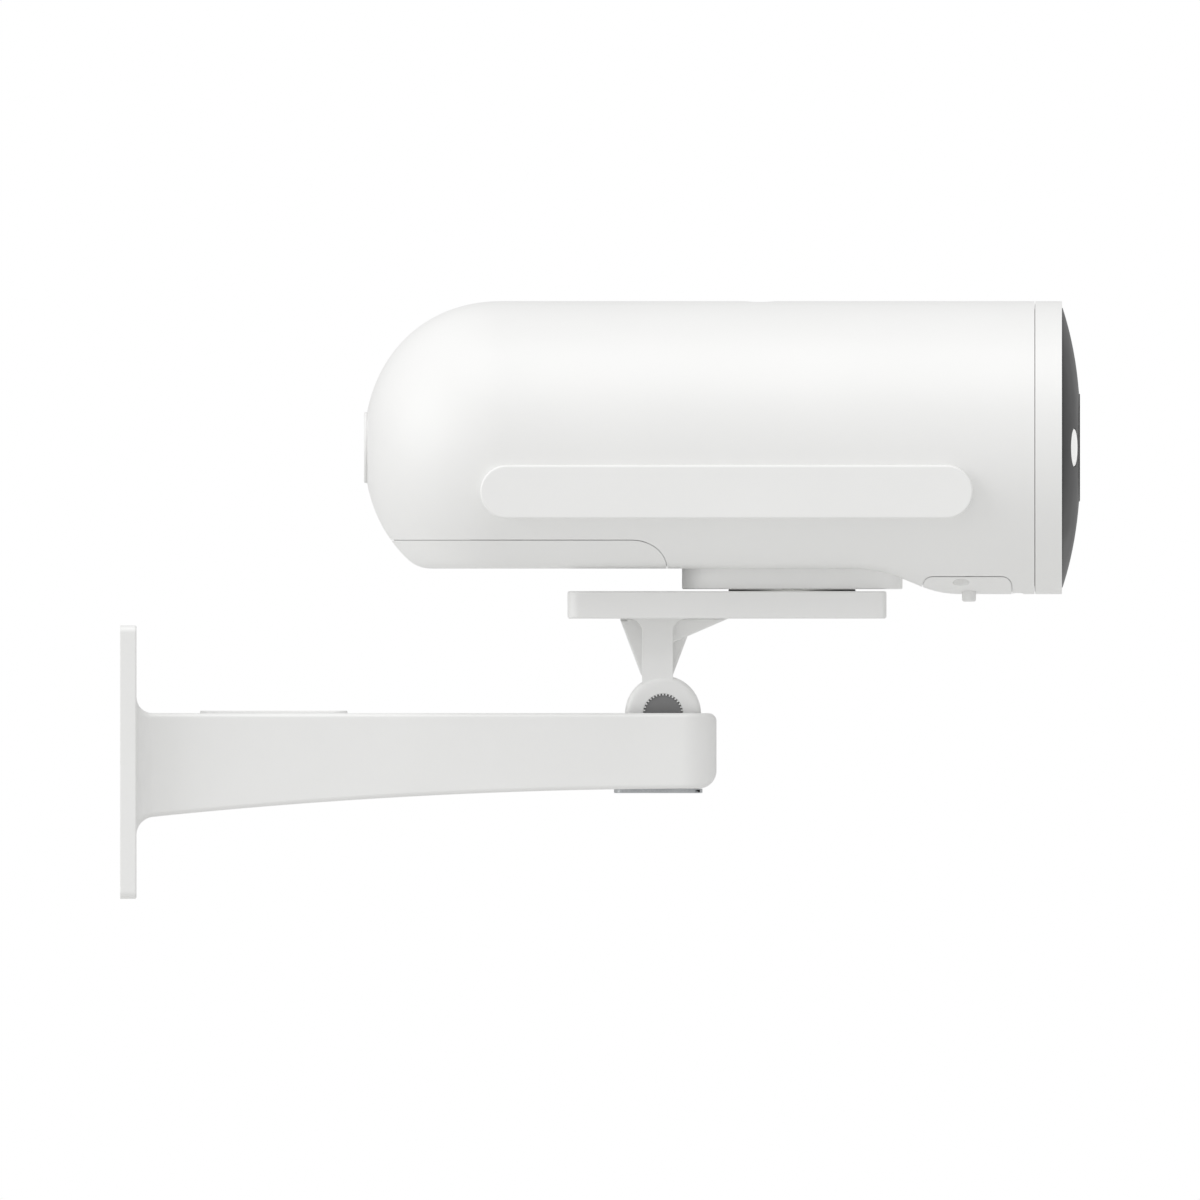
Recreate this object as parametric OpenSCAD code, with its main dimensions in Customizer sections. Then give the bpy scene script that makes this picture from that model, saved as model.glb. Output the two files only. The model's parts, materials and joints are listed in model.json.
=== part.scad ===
// Bullet security camera on a tilting wall arm.
// Millimetres. The origin is the centre of the wall plate's back face, +X points away from the wall
// towards the lens, +Z points up. The right side of the camera is at -Y, the left side at +Y.

/* [Housing] */
// Height of the housing axis above the wall plate's centre
axis_z = 125.8; // [120:0.2:132]
// Outer radius of the housing
body_r = 58.6; // [57.8:0.2:59.4]
// X of the rear face of the port cap, the rearmost point of the housing
rear_x = 97.6; // [95:0.2:100]
// Length of the domed rear end
dome_len = 55.6; // [53:0.2:58]
// Exponent of the dome's rounded outline, 2 is a plain ellipse
dome_power = 2.15; // [2:0.05:2.4]
// X of the seam between housing and front bezel
seam_x = 365.8; // [360:0.2:370]
// Thickness of the moulded walls
wall = 3; // [2.6:0.2:3.4]
// Height of the flat underside
under_z = 77.4; // [76.8:0.2:78]
// X where the underside starts to fall towards the front
ramp_x = 293.4; // [290:0.2:296]
// Radius of the bend where the ramp starts
ramp_r = 50; // [45:1:55]
// Slope of the ramp in degrees
ramp_angle = 22.8; // [20:0.2:25]

/* [Front] */
// X of the front edge of the bezel
bezel_x = 376.8; // [376:0.2:378]
// Radius of the domed front glass
glass_r = 56.2; // [55:0.2:56.4]
// How far the domed glass falls back from its middle to its edge
glass_drop = 7.35; // [7:0.05:7.5]
// Exponent of the glass's dome, 2 is nearly a sphere and more is flatter in the middle
glass_power = 2.5; // [2.2:0.1:2.6]
// Radius of the lens ring in the middle of the glass
lens_ring_r = 21.6; // [20:0.2:23]
// X of the front of the lens ring
lens_ring_x = 384; // [383.8:0.2:385]
// Radius of each round spotlight window
window_r = 7.6; // [6.6:0.2:8]
// Distance of each spotlight window from the lens axis
window_offset = 35.6; // [34:0.2:37]

/* [Covers and doors] */
// Half gap along the seams of loose covers
seam_gap = 0.15; // [0.1:0.05:0.2]
// Height of the seam of the rear hatch
hatch_z = 88.8; // [88:0.2:90]
// X of the front end of the rear hatch
hatch_x = 218.8; // [216:0.2:221]
// Length of the rounded front corner of the hatch
hatch_corner = 14; // [12:0.5:16]
// X of the rear edge of the port door
door_x0 = 321; // [320:0.2:322]
// X of the front edge of the port door
door_x1 = 356.8; // [356:0.2:357]
// Height of the top seam of the port door
door_z = 74.2; // [73.8:0.2:74.4]
// Radius of the reset button
button_r = 2.8; // [2.4:0.1:3]
// Travel of the reset button
button_travel = 1.2; // [0.8:0.1:1.5]

/* [Side covers] */
// Rear end of the raised side covers
rail_x0 = 144; // [142:0.2:148]
// Front end of the raised side covers
rail_x1 = 341.2; // [338:0.2:344]
// Height of the middle of the side covers
rail_z = 108.1; // [107:0.1:109]
// Half height of the side covers
rail_h = 10.7; // [10:0.1:11.4]
// Distance of the side covers' flat faces from the middle plane
rail_y = 61.2; // [60.8:0.2:62]

/* [Mount and bracket] */
// Rear end of the mount block
block_x0 = 224.8; // [223:0.2:226]
// Front end of the mount block
block_x1 = 313; // [310:0.2:314]
// Underside of the mount block
block_z = 69.2; // [69:0.1:69.4]
// Width of the mount block
block_w = 52; // [48:1:54]
// X of the pan bolt
pan_x = 268.8; // [266:0.2:271]
// Rear end of the bracket plate
plate_x0 = 179; // [178:0.2:182]
// Front end of the bracket plate
plate_x1 = 306.6; // [303:0.2:308]
// Underside of the bracket plate
plate_z0 = 57.4; // [57:0.2:58]
// Top of the bracket plate
plate_z1 = 68.4; // [68.2:0.1:68.5]
// Width of the bracket plate
plate_w = 60; // [56:1:64]

/* [Tilt hinge] */
// X of the tilt axis
tilt_x = 217.2; // [216.8:0.1:217.6]
// Height of the tilt axis
tilt_z = 19.4; // [19:0.1:19.8]
// Radius of the bracket's hinge ears
ear_r = 15.2; // [14.8:0.1:15.4]
// Width of the bracket across its ears
ear_w = 32; // [30:0.5:32]
// Width of the hinge block between the ears
tongue_w = 15.4; // [14:0.2:15.6]
// Number of clamp teeth in each ear
tooth_count = 36; // [24:12:48]
// Radius of the hinge pin
pin_r = 5; // [4.5:0.1:5.5]
// Radius of the toothed pin heads
hub_r = 7.4; // [7:0.1:7.6]

/* [Arm and wall plate] */
// Thickness of the wall plate
wall_plate_t = 6.6; // [6:0.2:7.4]
// Height of the wall plate
wall_plate_h = 109.4; // [108:0.2:112]
// Width of the wall plate
wall_plate_w = 80; // [78:1:86]
// Free end of the arm
arm_x1 = 238.6; // [237.6:0.2:240]
// Top of the arm
arm_top = 19.6; // [19.2:0.2:20]
// Underside of the arm at its free end
arm_bottom = -10.6; // [-11:0.1:-10.2]
// How much deeper the arm is at the wall
arm_drop = 11; // [9:0.5:12]
// Width of the arm
arm_w = 50; // [50:0.5:54]
// Wall thickness of the arm
arm_t = 4; // [3.6:0.1:4.2]
// Spacing of the wall screw holes across the plate
hole_y = 60; // [58:1:62]
// Spacing of the wall screw holes up the plate
hole_z = 84; // [82:1:86]
// Radius of the wall screw holes
hole_r = 2.6; // [2.2:0.1:3]
// Radius of the cable hole in the wall plate
cable_r = 11; // [10.5:0.5:12]

/* [Hidden] */
$fn = 64;
eps = 0.01;
fit = 0.05;

dome_x = rear_x + dome_len;
inner_r = body_r - wall;
arm_half = arm_w / 2;
arm_corner = 14;
slot_x0 = tilt_x - ear_r - 3;
slot_x1 = arm_x1 - arm_t;
cap_r = 14.2;
vent_x = 256;
vent_r = 6;
mic_x = 359.2;
cover_screw_x = [36, 87];
lock_screw_x = [203, 229];
lock_screw_y = 10;
cap_t = 2.6;
inlet_r = 10.3;
board_z = 128;
sensor_x = 334;
led_x = 363;

WHITE = "#f3f3f2";
BLACK = "#161617";
GREY = "#7d7d7d";
STEEL = "#b9bbbd";
GREEN = "#1f5a3c";
RUBBER = "#2b2b2c";
COPPER = "#c08a5a";

// ---- helpers -------------------------------------------------------------------------------------

// A cylinder along X, centred on the housing axis moved by y and z
module rod_x(x0, x1, r, y = 0, z = 0) {
    translate([x0, y, axis_z + z]) rotate([0, 90, 0]) cylinder(h = x1 - x0, r = r);
}

// A cylinder along Y, centred on x and z
module rod_y(y0, y1, r, x, z) {
    translate([x, y1, z]) rotate([90, 0, 0]) cylinder(h = y1 - y0, r = r);
}

// A cylinder along Z
module rod_z(z0, z1, r, x, y) {
    translate([x, y, z0]) cylinder(h = z1 - z0, r = r);
}

// A box given by its lowest and highest corners
module box(low, high) {
    translate(low) cube(high - low);
}

// An outline drawn in X and Z, extruded along Y
module along_y(y0, y1) {
    translate([0, y1, 0]) rotate([90, 0, 0]) linear_extrude(y1 - y0) children();
}

// A rectangle with round corners, rear corners r0 and front corners r1
module plan(x0, x1, w, r0, r1) {
    translate([x0 + r0, -w / 2]) square([x1 - x0 - r0 - r1, w]);
    translate([x0, -w / 2 + r0]) square([r0 + eps, w - 2 * r0]);
    translate([x1 - r1 - eps, -w / 2 + r1]) square([r1 + eps, w - 2 * r1]);
    for (s = [-1, 1]) {
        translate([x0 + r0, s * (w / 2 - r0)]) circle(r0);
        translate([x1 - r1, s * (w / 2 - r1)]) circle(r1);
    }
}

// A rounded bar lying along X, from end to end, in X and Z
module stadium(x0, x1, z, h) {
    translate([x0 + h, z - h]) square([x1 - x0 - 2 * h, 2 * h]);
    translate([x0 + h, z]) circle(h);
    translate([x1 - h, z]) circle(h);
}

// A screw along +Z from its head, with a hexagon socket
module socket_screw(r, length, head_r, head_h) {
    difference() {
        union() {
            cylinder(h = head_h, r = head_r);
            cylinder(h = head_h + length, r = r);
        }
        translate([0, 0, -eps]) cylinder(h = head_h * 0.6, r = head_r * 0.5, $fn = 6);
    }
}

// A countersunk screw along +Z, its flat head face at zero, with a cross-cut slot
module flat_screw(r, length, head_r) {
    difference() {
        union() {
            cylinder(h = head_r - r, r1 = head_r, r2 = r);
            cylinder(h = length, r = r);
        }
        box([-head_r * 0.55, -head_r * 0.1, -eps], [head_r * 0.55, head_r * 0.1, head_r * 0.4]);
        box([-head_r * 0.1, -head_r * 0.55, -eps], [head_r * 0.1, head_r * 0.55, head_r * 0.4]);
    }
}

// The hole that a countersunk screw sits in
module flat_screw_hole(r, length, head_r) {
    translate([0, 0, -eps]) cylinder(h = head_r - r + eps, r1 = head_r + fit, r2 = r + fit);
    translate([0, 0, -eps]) cylinder(h = length, r = r + fit);
}

// ---- housing outline -----------------------------------------------------------------------------

// Dome outline in radius and X, for a radius and length shortened by an inset
function dome_points(inset, steps = 26) = [for (i = [0 : steps])
    let (a = 90 * i / steps)
    [(body_r - inset) * pow(sin(a), 2 / dome_power), dome_x - (dome_len - inset) * pow(cos(a), 2 / dome_power)]];

// Solid of revolution of the housing, closed at the dome, flat at x1
module revolved(inset, x1) {
    translate([0, 0, axis_z]) rotate([0, 90, 0])
        rotate_extrude() polygon(concat(dome_points(inset), [[body_r - inset, x1], [0, x1]]));
}

// Everything below the underside, in X and Z
module below_underside() {
    bend = [for (i = [0 : 8])
        let (a = ramp_angle * i / 8)
        [ramp_x + ramp_r * sin(a), under_z - ramp_r * (1 - cos(a))]];
    foot = axis_z - body_r - 6;
    last = bend[8];
    polygon(concat([[rear_x - 20, foot], [rear_x - 20, under_z]], bend,
        [[last[0] + (last[1] - foot) / tan(ramp_angle), foot]]));
}

module outer_form(x1) {
    difference() {
        revolved(0, x1);
        along_y(-body_r, body_r) below_underside();
    }
}

module inner_form(x1) {
    difference() {
        revolved(wall, x1);
        translate([0, 0, wall]) along_y(-body_r, body_r) below_underside();
    }
}

// The rear hatch's region in X and Z, grown by g
module hatch_region(g) {
    drop = hatch_z - under_z;
    corner = [for (i = [0 : 8])
        let (a = 90 * i / 8)
        [hatch_x - hatch_corner + (hatch_corner + g) * sin(a), under_z + (drop + g) * cos(a)]];
    foot = axis_z - body_r - 6;
    polygon(concat([[rear_x - 20, foot], [rear_x - 20, hatch_z + g]], corner, [[hatch_x + g, foot]]));
}

// The port door's region in X and Z, grown by g
module door_region(g) {
    r = 4 + g;
    foot = axis_z - body_r - 6;
    translate([door_x0 - g, foot]) square([door_x1 - door_x0 + 2 * g, door_z - 4 - foot]);
    translate([door_x0 + 4, door_z - 4 - eps]) square([door_x1 - door_x0 - 8, 4 + g + eps]);
    for (x = [door_x0 + 4, door_x1 - 4]) translate([x, door_z - 4]) circle(r);
}

// ---- wall plate and arm --------------------------------------------------------------------------

module at_wall_holes() {
    for (y = [-1, 1], z = [-1, 1]) translate([0, y * hole_y / 2, z * hole_z / 2]) children();
}

module at_arm_screws() {
    for (y = [-1, 1], z = [arm_top - 9.5, arm_bottom - arm_drop + 10]) translate([0, y * 17, z]) children();
}

module wall_plate() {
    r = 3;
    color(WHITE) difference() {
        rotate([0, 90, 0]) linear_extrude(wall_plate_t)
            plan(-wall_plate_h / 2, wall_plate_h / 2, wall_plate_w, r, r);
        at_wall_holes() {
            translate([-eps, 0, 0]) rotate([0, 90, 0]) cylinder(h = wall_plate_t + 1, r = hole_r);
            translate([wall_plate_t - 3, 0, 0]) rotate([0, 90, 0])
                cylinder(h = 3 + eps, r1 = hole_r, r2 = hole_r + 3);
        }
        at_arm_screws() rotate([0, 90, 0]) flat_screw_hole(2, 20, 4);
        translate([-eps, 0, 0]) rotate([0, 90, 0]) cylinder(h = wall_plate_t + 1, r = cable_r);
    }
}

// Underside of the arm at x, a shallow arch that deepens towards the wall
function arm_low(x) = arm_bottom - arm_drop * pow((232 - x) / 216, 2);

// Side outline of the arm, from x0, inset by t
module arm_side(x0, x1, t) {
    steps = 18;
    polygon(concat([[x0, arm_top - t], [x1, arm_top - t], [x1, arm_bottom + t]],
        [for (i = [0 : steps]) let (x = min(x1, 232) + (x0 - min(x1, 232)) * i / steps) [x, arm_low(x) + t]]));
}

module arm() {
    floor_z = arm_bottom + arm_t;
    color(WHITE) difference() {
        intersection() {
            along_y(-arm_half, arm_half) arm_side(wall_plate_t, arm_x1, 0);
            translate([0, 0, -60]) linear_extrude(120) plan(wall_plate_t, arm_x1, arm_w, 1, arm_corner);
        }
        difference() {
            along_y(-arm_half + arm_t, arm_half - arm_t) arm_side(wall_plate_t - 1, slot_x0 - arm_t, arm_t);
            at_arm_screws() rotate([0, 90, 0]) cylinder(h = 26, r = 4.4);
        }
        box([slot_x0 - arm_t - 1, -9, floor_z + 4], [slot_x0 + 1, 9, arm_top - arm_t]);
        translate([0, 0, floor_z]) linear_extrude(arm_top - floor_z + 1)
            plan(slot_x0, slot_x1, arm_w - 2 * arm_t, 3, arm_corner - arm_t);
        at_arm_screws() rotate([0, 90, 0]) cylinder(h = 20.5, r = 2 + fit);
        box([40, -9, arm_top - arm_t - 1], [83, 9, arm_top + 1]);
        for (x = cover_screw_x) rod_z(arm_top - arm_t - 1, arm_top + 1, 1.5 + fit, x, 0);
        for (x = [tilt_x - 8, tilt_x + 8]) rod_z(arm_bottom - 3, floor_z + 1, 2 + fit, x, 0);
        rod_z(arm_bottom - 3, floor_z + 1, 3 + 0.3, tilt_x, 0);
        translate([0, 0, arm_bottom - 3]) linear_extrude(3) plan(tilt_x - 19.8, tilt_x + 16, 34.4, 4.2, 12.2);
        for (x = [tilt_x - 8, tilt_x + 8]) rod_z(arm_bottom - 3, arm_bottom + 1.6, 4, x, 0);
        for (x = lock_screw_x, side = [-1, 1])
            rod_z(arm_bottom - 3, floor_z - 1, 1.5 + fit, x, side * lock_screw_y);
    }
}

module arm_screws() {
    color(STEEL) at_arm_screws() rotate([0, 90, 0]) flat_screw(2, 19, 4);
}

// A low cover over the cable entry in the top of the arm
module cable_cover() {
    color(WHITE) difference() {
        union() {
            translate([0, 0, arm_top]) linear_extrude(1) plan(32, 91, 24, 6, 6);
            box([41, -8, arm_top - 3], [82, 8, arm_top + eps]);
        }
        for (x = cover_screw_x) translate([x, 0, arm_top + 1]) rotate([180, 0, 0]) flat_screw_hole(1.5, 9, 2.4);
    }
}

module cable_cover_screws() {
    color(STEEL) for (x = cover_screw_x) translate([x, 0, arm_top + 1]) rotate([180, 0, 0]) flat_screw(1.5, 8, 2.4);
}

// Cast block in the end of the arm with the bore that carries the hinge pin
module hinge_block() {
    floor_z = arm_bottom + arm_t;
    r = ear_r - 1.7;
    h = tongue_w / 2;
    color(STEEL) difference() {
        union() {
            rod_y(-h, h, r, tilt_x, tilt_z);
            box([tilt_x - 12, -h, floor_z], [tilt_x + 12, h, tilt_z - 5]);
        }
        rod_y(-h - 1, h + 1, pin_r + fit, tilt_x, tilt_z);
        rod_z(floor_z - 1, tilt_z, 3 + fit, tilt_x, 0);
        for (x = [tilt_x - 8, tilt_x + 8]) rod_z(floor_z - 1, floor_z + 9, 2 + fit, x, 0);
    }
}

module hinge_block_screws() {
    color(STEEL) for (x = [tilt_x - 8, tilt_x + 8])
        translate([x, 0, arm_bottom + 0.1]) socket_screw(2, 11, 3.6, 1.5);
}

// Thin plate under the end of the arm
module lock_plate() {
    t = 1.8;
    color(GREY) difference() {
        translate([0, 0, arm_bottom - t]) linear_extrude(t) plan(tilt_x - 19.6, tilt_x + 15.8, 34, 4, 12);
        rod_z(arm_bottom - 3, arm_bottom + 1, 4.6, tilt_x, 0);
        for (x = lock_screw_x, side = [-1, 1])
            translate([x, side * lock_screw_y, arm_bottom - t]) flat_screw_hole(1.5, 6, 2.9);
    }
}

module lock_plate_screws() {
    color(STEEL) for (x = lock_screw_x, side = [-1, 1])
        translate([x, side * lock_screw_y, arm_bottom - 1.8]) flat_screw(1.5, 4.6, 2.9);
}

// Screw that clamps the hinge pin in its bore, reached from under the arm
module tilt_lock_screw() {
    head_z = arm_bottom - 1.4;
    tip_z = tilt_z - pin_r - 0.1;
    color(STEEL) difference() {
        union() {
            rod_z(head_z, arm_bottom - 0.1, 4.2, tilt_x, 0);
            rod_z(head_z, tip_z, 3, tilt_x, 0);
        }
        translate([tilt_x, 0, head_z - eps]) cylinder(h = 3, r = 2.3, $fn = 6);
    }
}

// ---- tilting bracket -----------------------------------------------------------------------------

// Post under the plate with its two fillets, in X and Z
module post_side() {
    x0 = tilt_x - 8.4;
    x1 = tilt_x + 4;
    f = 5.2;
    difference() {
        translate([x0 - f, tilt_z]) square([x1 - x0 + 2 * f, plate_z0 - tilt_z + eps]);
        translate([x0 - f - 1, tilt_z - 1]) square([f + 1, plate_z0 - f - tilt_z + 1]);
        translate([x1, tilt_z - 1]) square([f + 1, plate_z0 - f - tilt_z + 1]);
        translate([x0 - f, plate_z0 - f]) circle(f);
        translate([x1 + f, plate_z0 - f]) circle(f);
    }
}

// Ring of small teeth inside each ear, as an outline in X and Z
module tooth_outline() {
    tip = hub_r + fit;
    root = hub_r + 0.65;
    polygon([for (i = [0 : 2 * tooth_count - 1])
        let (a = 180 * i / tooth_count, r = i % 2 == 0 ? tip : root)
        [tilt_x + r * cos(a), tilt_z + r * sin(a)]]);
}

module bracket() {
    half = ear_w / 2;
    web_x = tilt_x - 2.4;
    color(WHITE) difference() {
        union() {
            translate([0, 0, plate_z0]) linear_extrude(plate_z1 - plate_z0)
                plan(plate_x0, plate_x1, plate_w, 4.8, 2);
            along_y(-half, half) post_side();
            rod_y(-half, half, ear_r, tilt_x, tilt_z);
            along_y(-5, 5) polygon([[web_x - 15, plate_z0 + eps], [web_x + 15, plate_z0 + eps],
                [web_x + 6.2, tilt_z + 15], [web_x - 6.2, tilt_z + 15]]);
            along_y(-12, 12) polygon([[tilt_x + 26.8, plate_z0 + eps], [tilt_x + 3, plate_z0 + eps],
                [tilt_x + 3, tilt_z + 28]]);
        }
        rod_y(-tongue_w / 2 - 0.3, tongue_w / 2 + 0.3, ear_r - 1, tilt_x, tilt_z);
        box([tilt_x - 20, -tongue_w / 2 - 0.3, tilt_z - 20], [tilt_x + 20, tongue_w / 2 + 0.3, tilt_z + 9]);
        rod_y(-half - 1, half + 1, pin_r + fit, tilt_x, tilt_z);
        along_y(-half - 1, -half + 3) tooth_outline();
        along_y(half - 3, half + 1) tooth_outline();
        rod_z(plate_z0 - 1, plate_z1 + 1, 4 + fit, pan_x, 0);
        rod_z(plate_z0 - 1, plate_z0 + 6.5, 8, pan_x, 0);
        for (x = [plate_x0 + 3, plate_x1 - 24], y = [-plate_w / 2 + 3, 3])
            box([x, y, plate_z0 - 1], [x + 21, y + plate_w / 2 - 6, plate_z0 + 7.5]);
    }
}

// Hinge pin with one toothed-seat head, seen as a dark disc in the ear
module tilt_pin() {
    half = ear_w / 2;
    color(GREY) union() {
        rod_y(-half + 0.4, half - 3.2, pin_r, tilt_x, tilt_z);
        rod_y(-half + 0.4, -half + 2.9, hub_r, tilt_x, tilt_z);
    }
}

module tilt_pin_cap() {
    half = ear_w / 2;
    color(GREY) difference() {
        rod_y(half - 2.9, half - 0.4, hub_r, tilt_x, tilt_z);
        translate([tilt_x, half, tilt_z]) rotate([90, 0, 0]) cylinder(h = 2, r = 3, $fn = 6);
    }
}

module pan_washer() {
    color(WHITE) difference() {
        rod_z(plate_z1, block_z - fit, 25.4, pan_x, 0);
        rod_z(plate_z1 - 1, block_z + 1, 4.4, pan_x, 0);
    }
}

// ---- camera mount --------------------------------------------------------------------------------

module pan_bolt() {
    head_z = plate_z0 + 1;
    color(STEEL) translate([pan_x, 0, head_z]) socket_screw(4, 12.9, 7, 4.6);
}

module pan_bolt_washer() {
    z1 = plate_z0 + 6.5 - fit;
    color(STEEL) difference() {
        rod_z(plate_z0 + 5.65, z1, 7.6, pan_x, 0);
        rod_z(plate_z0, z1 + 1, 4 + fit, pan_x, 0);
    }
}

module at_mount_screws() {
    for (x = [block_x0 + 16, block_x1 - 24], y = [-16, 16]) translate([x, y, 0]) children();
}

module mount_block() {
    color(WHITE) difference() {
        translate([0, 0, block_z]) linear_extrude(12) plan(block_x0, block_x1, block_w, 16, 6);
        translate([0, 0, -0.1]) difference() {
            box([block_x0 - 5, -40, block_z - 2], [block_x1 + 5, 40, block_z + 20]);
            along_y(-41, 41) below_underside();
        }
        rod_z(block_z - 1, under_z + 1, 4 + fit, pan_x, 0);
        at_mount_screws() {
            rod_z(block_z - 1, under_z + 1, 2 + fit, 0, 0);
            rod_z(block_z - 1, block_z + 3, 3.8, 0, 0);
        }
    }
}

module mount_screws() {
    color(STEEL) at_mount_screws() translate([0, 0, block_z + 0.4]) socket_screw(2, 9.5, 3.6, 2.6);
}

// ---- housing -------------------------------------------------------------------------------------

module at_bezel_screws() {
    for (a = [45 : 90 : 315]) translate([0, 51.4 * cos(a), 51.4 * sin(a)]) children();
}

module housing() {
    color(WHITE) difference() {
        union() {
            difference() {
                outer_form(seam_x);
                inner_form(seam_x + 1);
            }
            rod_x(dome_x - dome_len + wall, rear_x + 9.4, 18);
            intersection() {
                at_bezel_screws() rod_x(seam_x - 20, seam_x - 4.2, 4.6);
                revolved(1, seam_x + 1);
            }
            at_mount_screws() rod_z(under_z + 1, under_z + 10, 4.2, 0, 0);
        }
        along_y(-body_r, body_r) hatch_region(seam_gap);
        along_y(-body_r, body_r) door_region(seam_gap);
        rod_x(rear_x - 1, rear_x + 2.8, cap_r + 0.3);
        rod_x(rear_x - 1, rear_x + 12, inlet_r + fit);
        at_bezel_screws() rod_x(seam_x - 16, seam_x + 1, 1.5 + fit);
        at_mount_screws() rod_z(under_z - 1, under_z + 8, 2 + fit, 0, 0);
        rod_z(axis_z + inner_r - 3, axis_z + body_r + 1, vent_r + fit, vent_x, 0);
        box([mic_x - 2, -7, axis_z - body_r - 1], [mic_x + 2, 7, axis_z - body_r + 1]);
        rod_z(axis_z - body_r - 1, axis_z - inner_r + 2, 0.8, mic_x, 0);
    }
}

// Raised cover along one side of the housing, hollow behind, side is -1 for right and 1 for left
module antenna_cover(side) {
    color(WHITE) difference() {
        along_y(side > 0 ? 44 : -rail_y, side > 0 ? rail_y : -44) stadium(rail_x0, rail_x1, rail_z, rail_h);
        revolved(-0.05, seam_x);
        along_y(side > 0 ? 44 : -rail_y + 1.8, side > 0 ? rail_y - 1.8 : -44)
            stadium(rail_x0 + 2, rail_x1 - 2, rail_z, rail_h - 2);
    }
}

module antenna(side) {
    y = rail_y - 2.9;
    color(COPPER) box([rail_x0 + 18, side > 0 ? y : -y - 1, rail_z - 7], [rail_x1 - 18, side > 0 ? y + 1 : -y, rail_z + 4]);
}

module antenna_cover_right() { antenna_cover(-1); }
module antenna_cover_left() { antenna_cover(1); }
module antenna_right() { antenna(-1); }
module antenna_left() { antenna(1); }

// Breather plug, its face a little below the top of the housing
module vent_plug() {
    top = axis_z + body_r - 0.4;
    color(WHITE) union() {
        rod_z(axis_z + inner_r - 0.75, top, vent_r, vent_x, 0);
        rod_z(axis_z + inner_r - 2.7, axis_z + inner_r - 0.7, vent_r + 2, vent_x, 0);
    }
}

module power_inlet() {
    x0 = rear_x + 3.2;
    color(RUBBER) difference() {
        rod_x(x0, rear_x + 22, inlet_r - 0.1);
        rod_x(x0 - 1, rear_x + 16, 2.9);
    }
    color(STEEL) rod_x(x0 + 3, rear_x + 16 + eps, 0.9);
}

module inlet_nut() {
    x0 = rear_x + 9.5;
    color(STEEL) difference() {
        translate([x0, 0, axis_z]) rotate([0, 90, 0]) cylinder(h = 3.5, r = 15, $fn = 6);
        rod_x(x0 - 1, x0 + 5, inlet_r - 0.05);
    }
}

// Round soft cap over the power inlet, with a plug that fits the socket
module rear_cap() {
    color(WHITE) union() {
        rod_x(rear_x, rear_x + cap_t - 0.1, cap_r);
        difference() {
            rod_x(rear_x + cap_t - 0.2, rear_x + 10, 2.55);
            rod_x(rear_x + 5, rear_x + 11, 1.3);
        }
    }
}

module rear_hatch() {
    color(WHITE) intersection() {
        difference() {
            outer_form(hatch_x + 20);
            inner_form(hatch_x + 21);
            rod_x(rear_x - 1, rear_x + 30, cap_r + 6);
        }
        along_y(-body_r, body_r) hatch_region(-seam_gap);
    }
}

// Soft strip around the inside of the hatch opening
module hatch_gasket() {
    z0 = hatch_z + seam_gap + 0.2;
    color(RUBBER) intersection() {
        difference() {
            revolved(wall + 0.1, hatch_x + 2);
            difference() {
                revolved(wall + 3.6, hatch_x - 1.5);
                box([hatch_x - 1.5, -60, 60], [hatch_x + 20, 60, 200]);
            }
        }
        box([rear_x, -body_r, z0], [hatch_x + 2, body_r, z0 + 2]);
    }
}

// ---- battery -------------------------------------------------------------------------------------

cell_r = 9.2;
cell_len = 65;
cell_x = 143;
cell_z = 92.6;
cell_gap = 0.6;
cell_pitch = 2 * cell_r + cell_gap;

module at_cells() {
    for (i = [-1 : 1], k = [0 : 1]) translate([cell_x, i * cell_pitch, cell_z + k * cell_pitch])
        rotate([0, 90, 0]) children();
}

module battery_case() {
    w = 3 * cell_r + 2.4;
    z0 = cell_z - cell_r - 1.9;
    z1 = cell_z + 3 * cell_r + 2.1;
    color(RUBBER) difference() {
        box([cell_x - 3, -w, z0], [cell_x + cell_len + 3, w, z1]);
        at_cells() translate([0, 0, -0.2]) cylinder(h = cell_len + 0.4, r = cell_r + 0.1);
        for (i = [-1 : 1], k = [0 : 1])
            box([cell_x - 4, i * cell_pitch - 3, cell_z + k * cell_pitch - 3],
                [cell_x, i * cell_pitch + 3, cell_z + k * cell_pitch + 3]);
    }
}

module battery_cells() {
    color("#3c6ea8") at_cells() {
        cylinder(h = cell_len - 1.5, r = cell_r);
        cylinder(h = cell_len, r = 3);
    }
}

// Spring contacts that close the battery case at its front end
module battery_contacts() {
    x0 = cell_x + cell_len + 3.1;
    w = 3 * cell_r;
    color(COPPER) for (k = [0 : 1])
        box([x0, -w, cell_z + k * cell_pitch - 3], [x0 + 0.8, w, cell_z + k * cell_pitch + 3]);
}

// ---- electronics ---------------------------------------------------------------------------------

module at_board_screws() {
    for (x = [232, 312], y = [-36, 36]) translate([x, y, 0]) children();
}

// Frame inside the housing: a bulkhead behind the lens and two shelves for the main board
module chassis() {
    plate_x = 322;
    color(BLACK) difference() {
        union() {
            intersection() {
                rod_x(plate_x, plate_x + 3, inner_r - 0.4);
                box([plate_x - 1, -60, under_z + 8], [plate_x + 4, 60, 200]);
            }
            for (s = [-1, 1]) box([226, s > 0 ? 32 : -46, board_z - 5], [plate_x + eps, s > 0 ? 46 : -32, board_z]);
            for (y = [-15, 15], z = [-15, 15]) rod_x(plate_x + 2, sensor_x, 3, y, z);
        }
        rod_x(plate_x - 1, plate_x + 5, 9);
        for (y = [-15, 15], z = [-15, 15]) rod_x(plate_x + 4, sensor_x + 1, 1 + fit, y, z);
        at_board_screws() rod_z(board_z - 4, board_z + 1, 1.25 + fit, 0, 0);
    }
}

module main_board() {
    color(GREEN) difference() {
        box([228, -40, board_z + fit], [320, 40, board_z + 1.6]);
        at_board_screws() rod_z(board_z - 1, board_z + 3, 1.5, 0, 0);
        box([252, -8, board_z - 1], [264, 8, board_z + 3]);
    }
}

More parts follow.
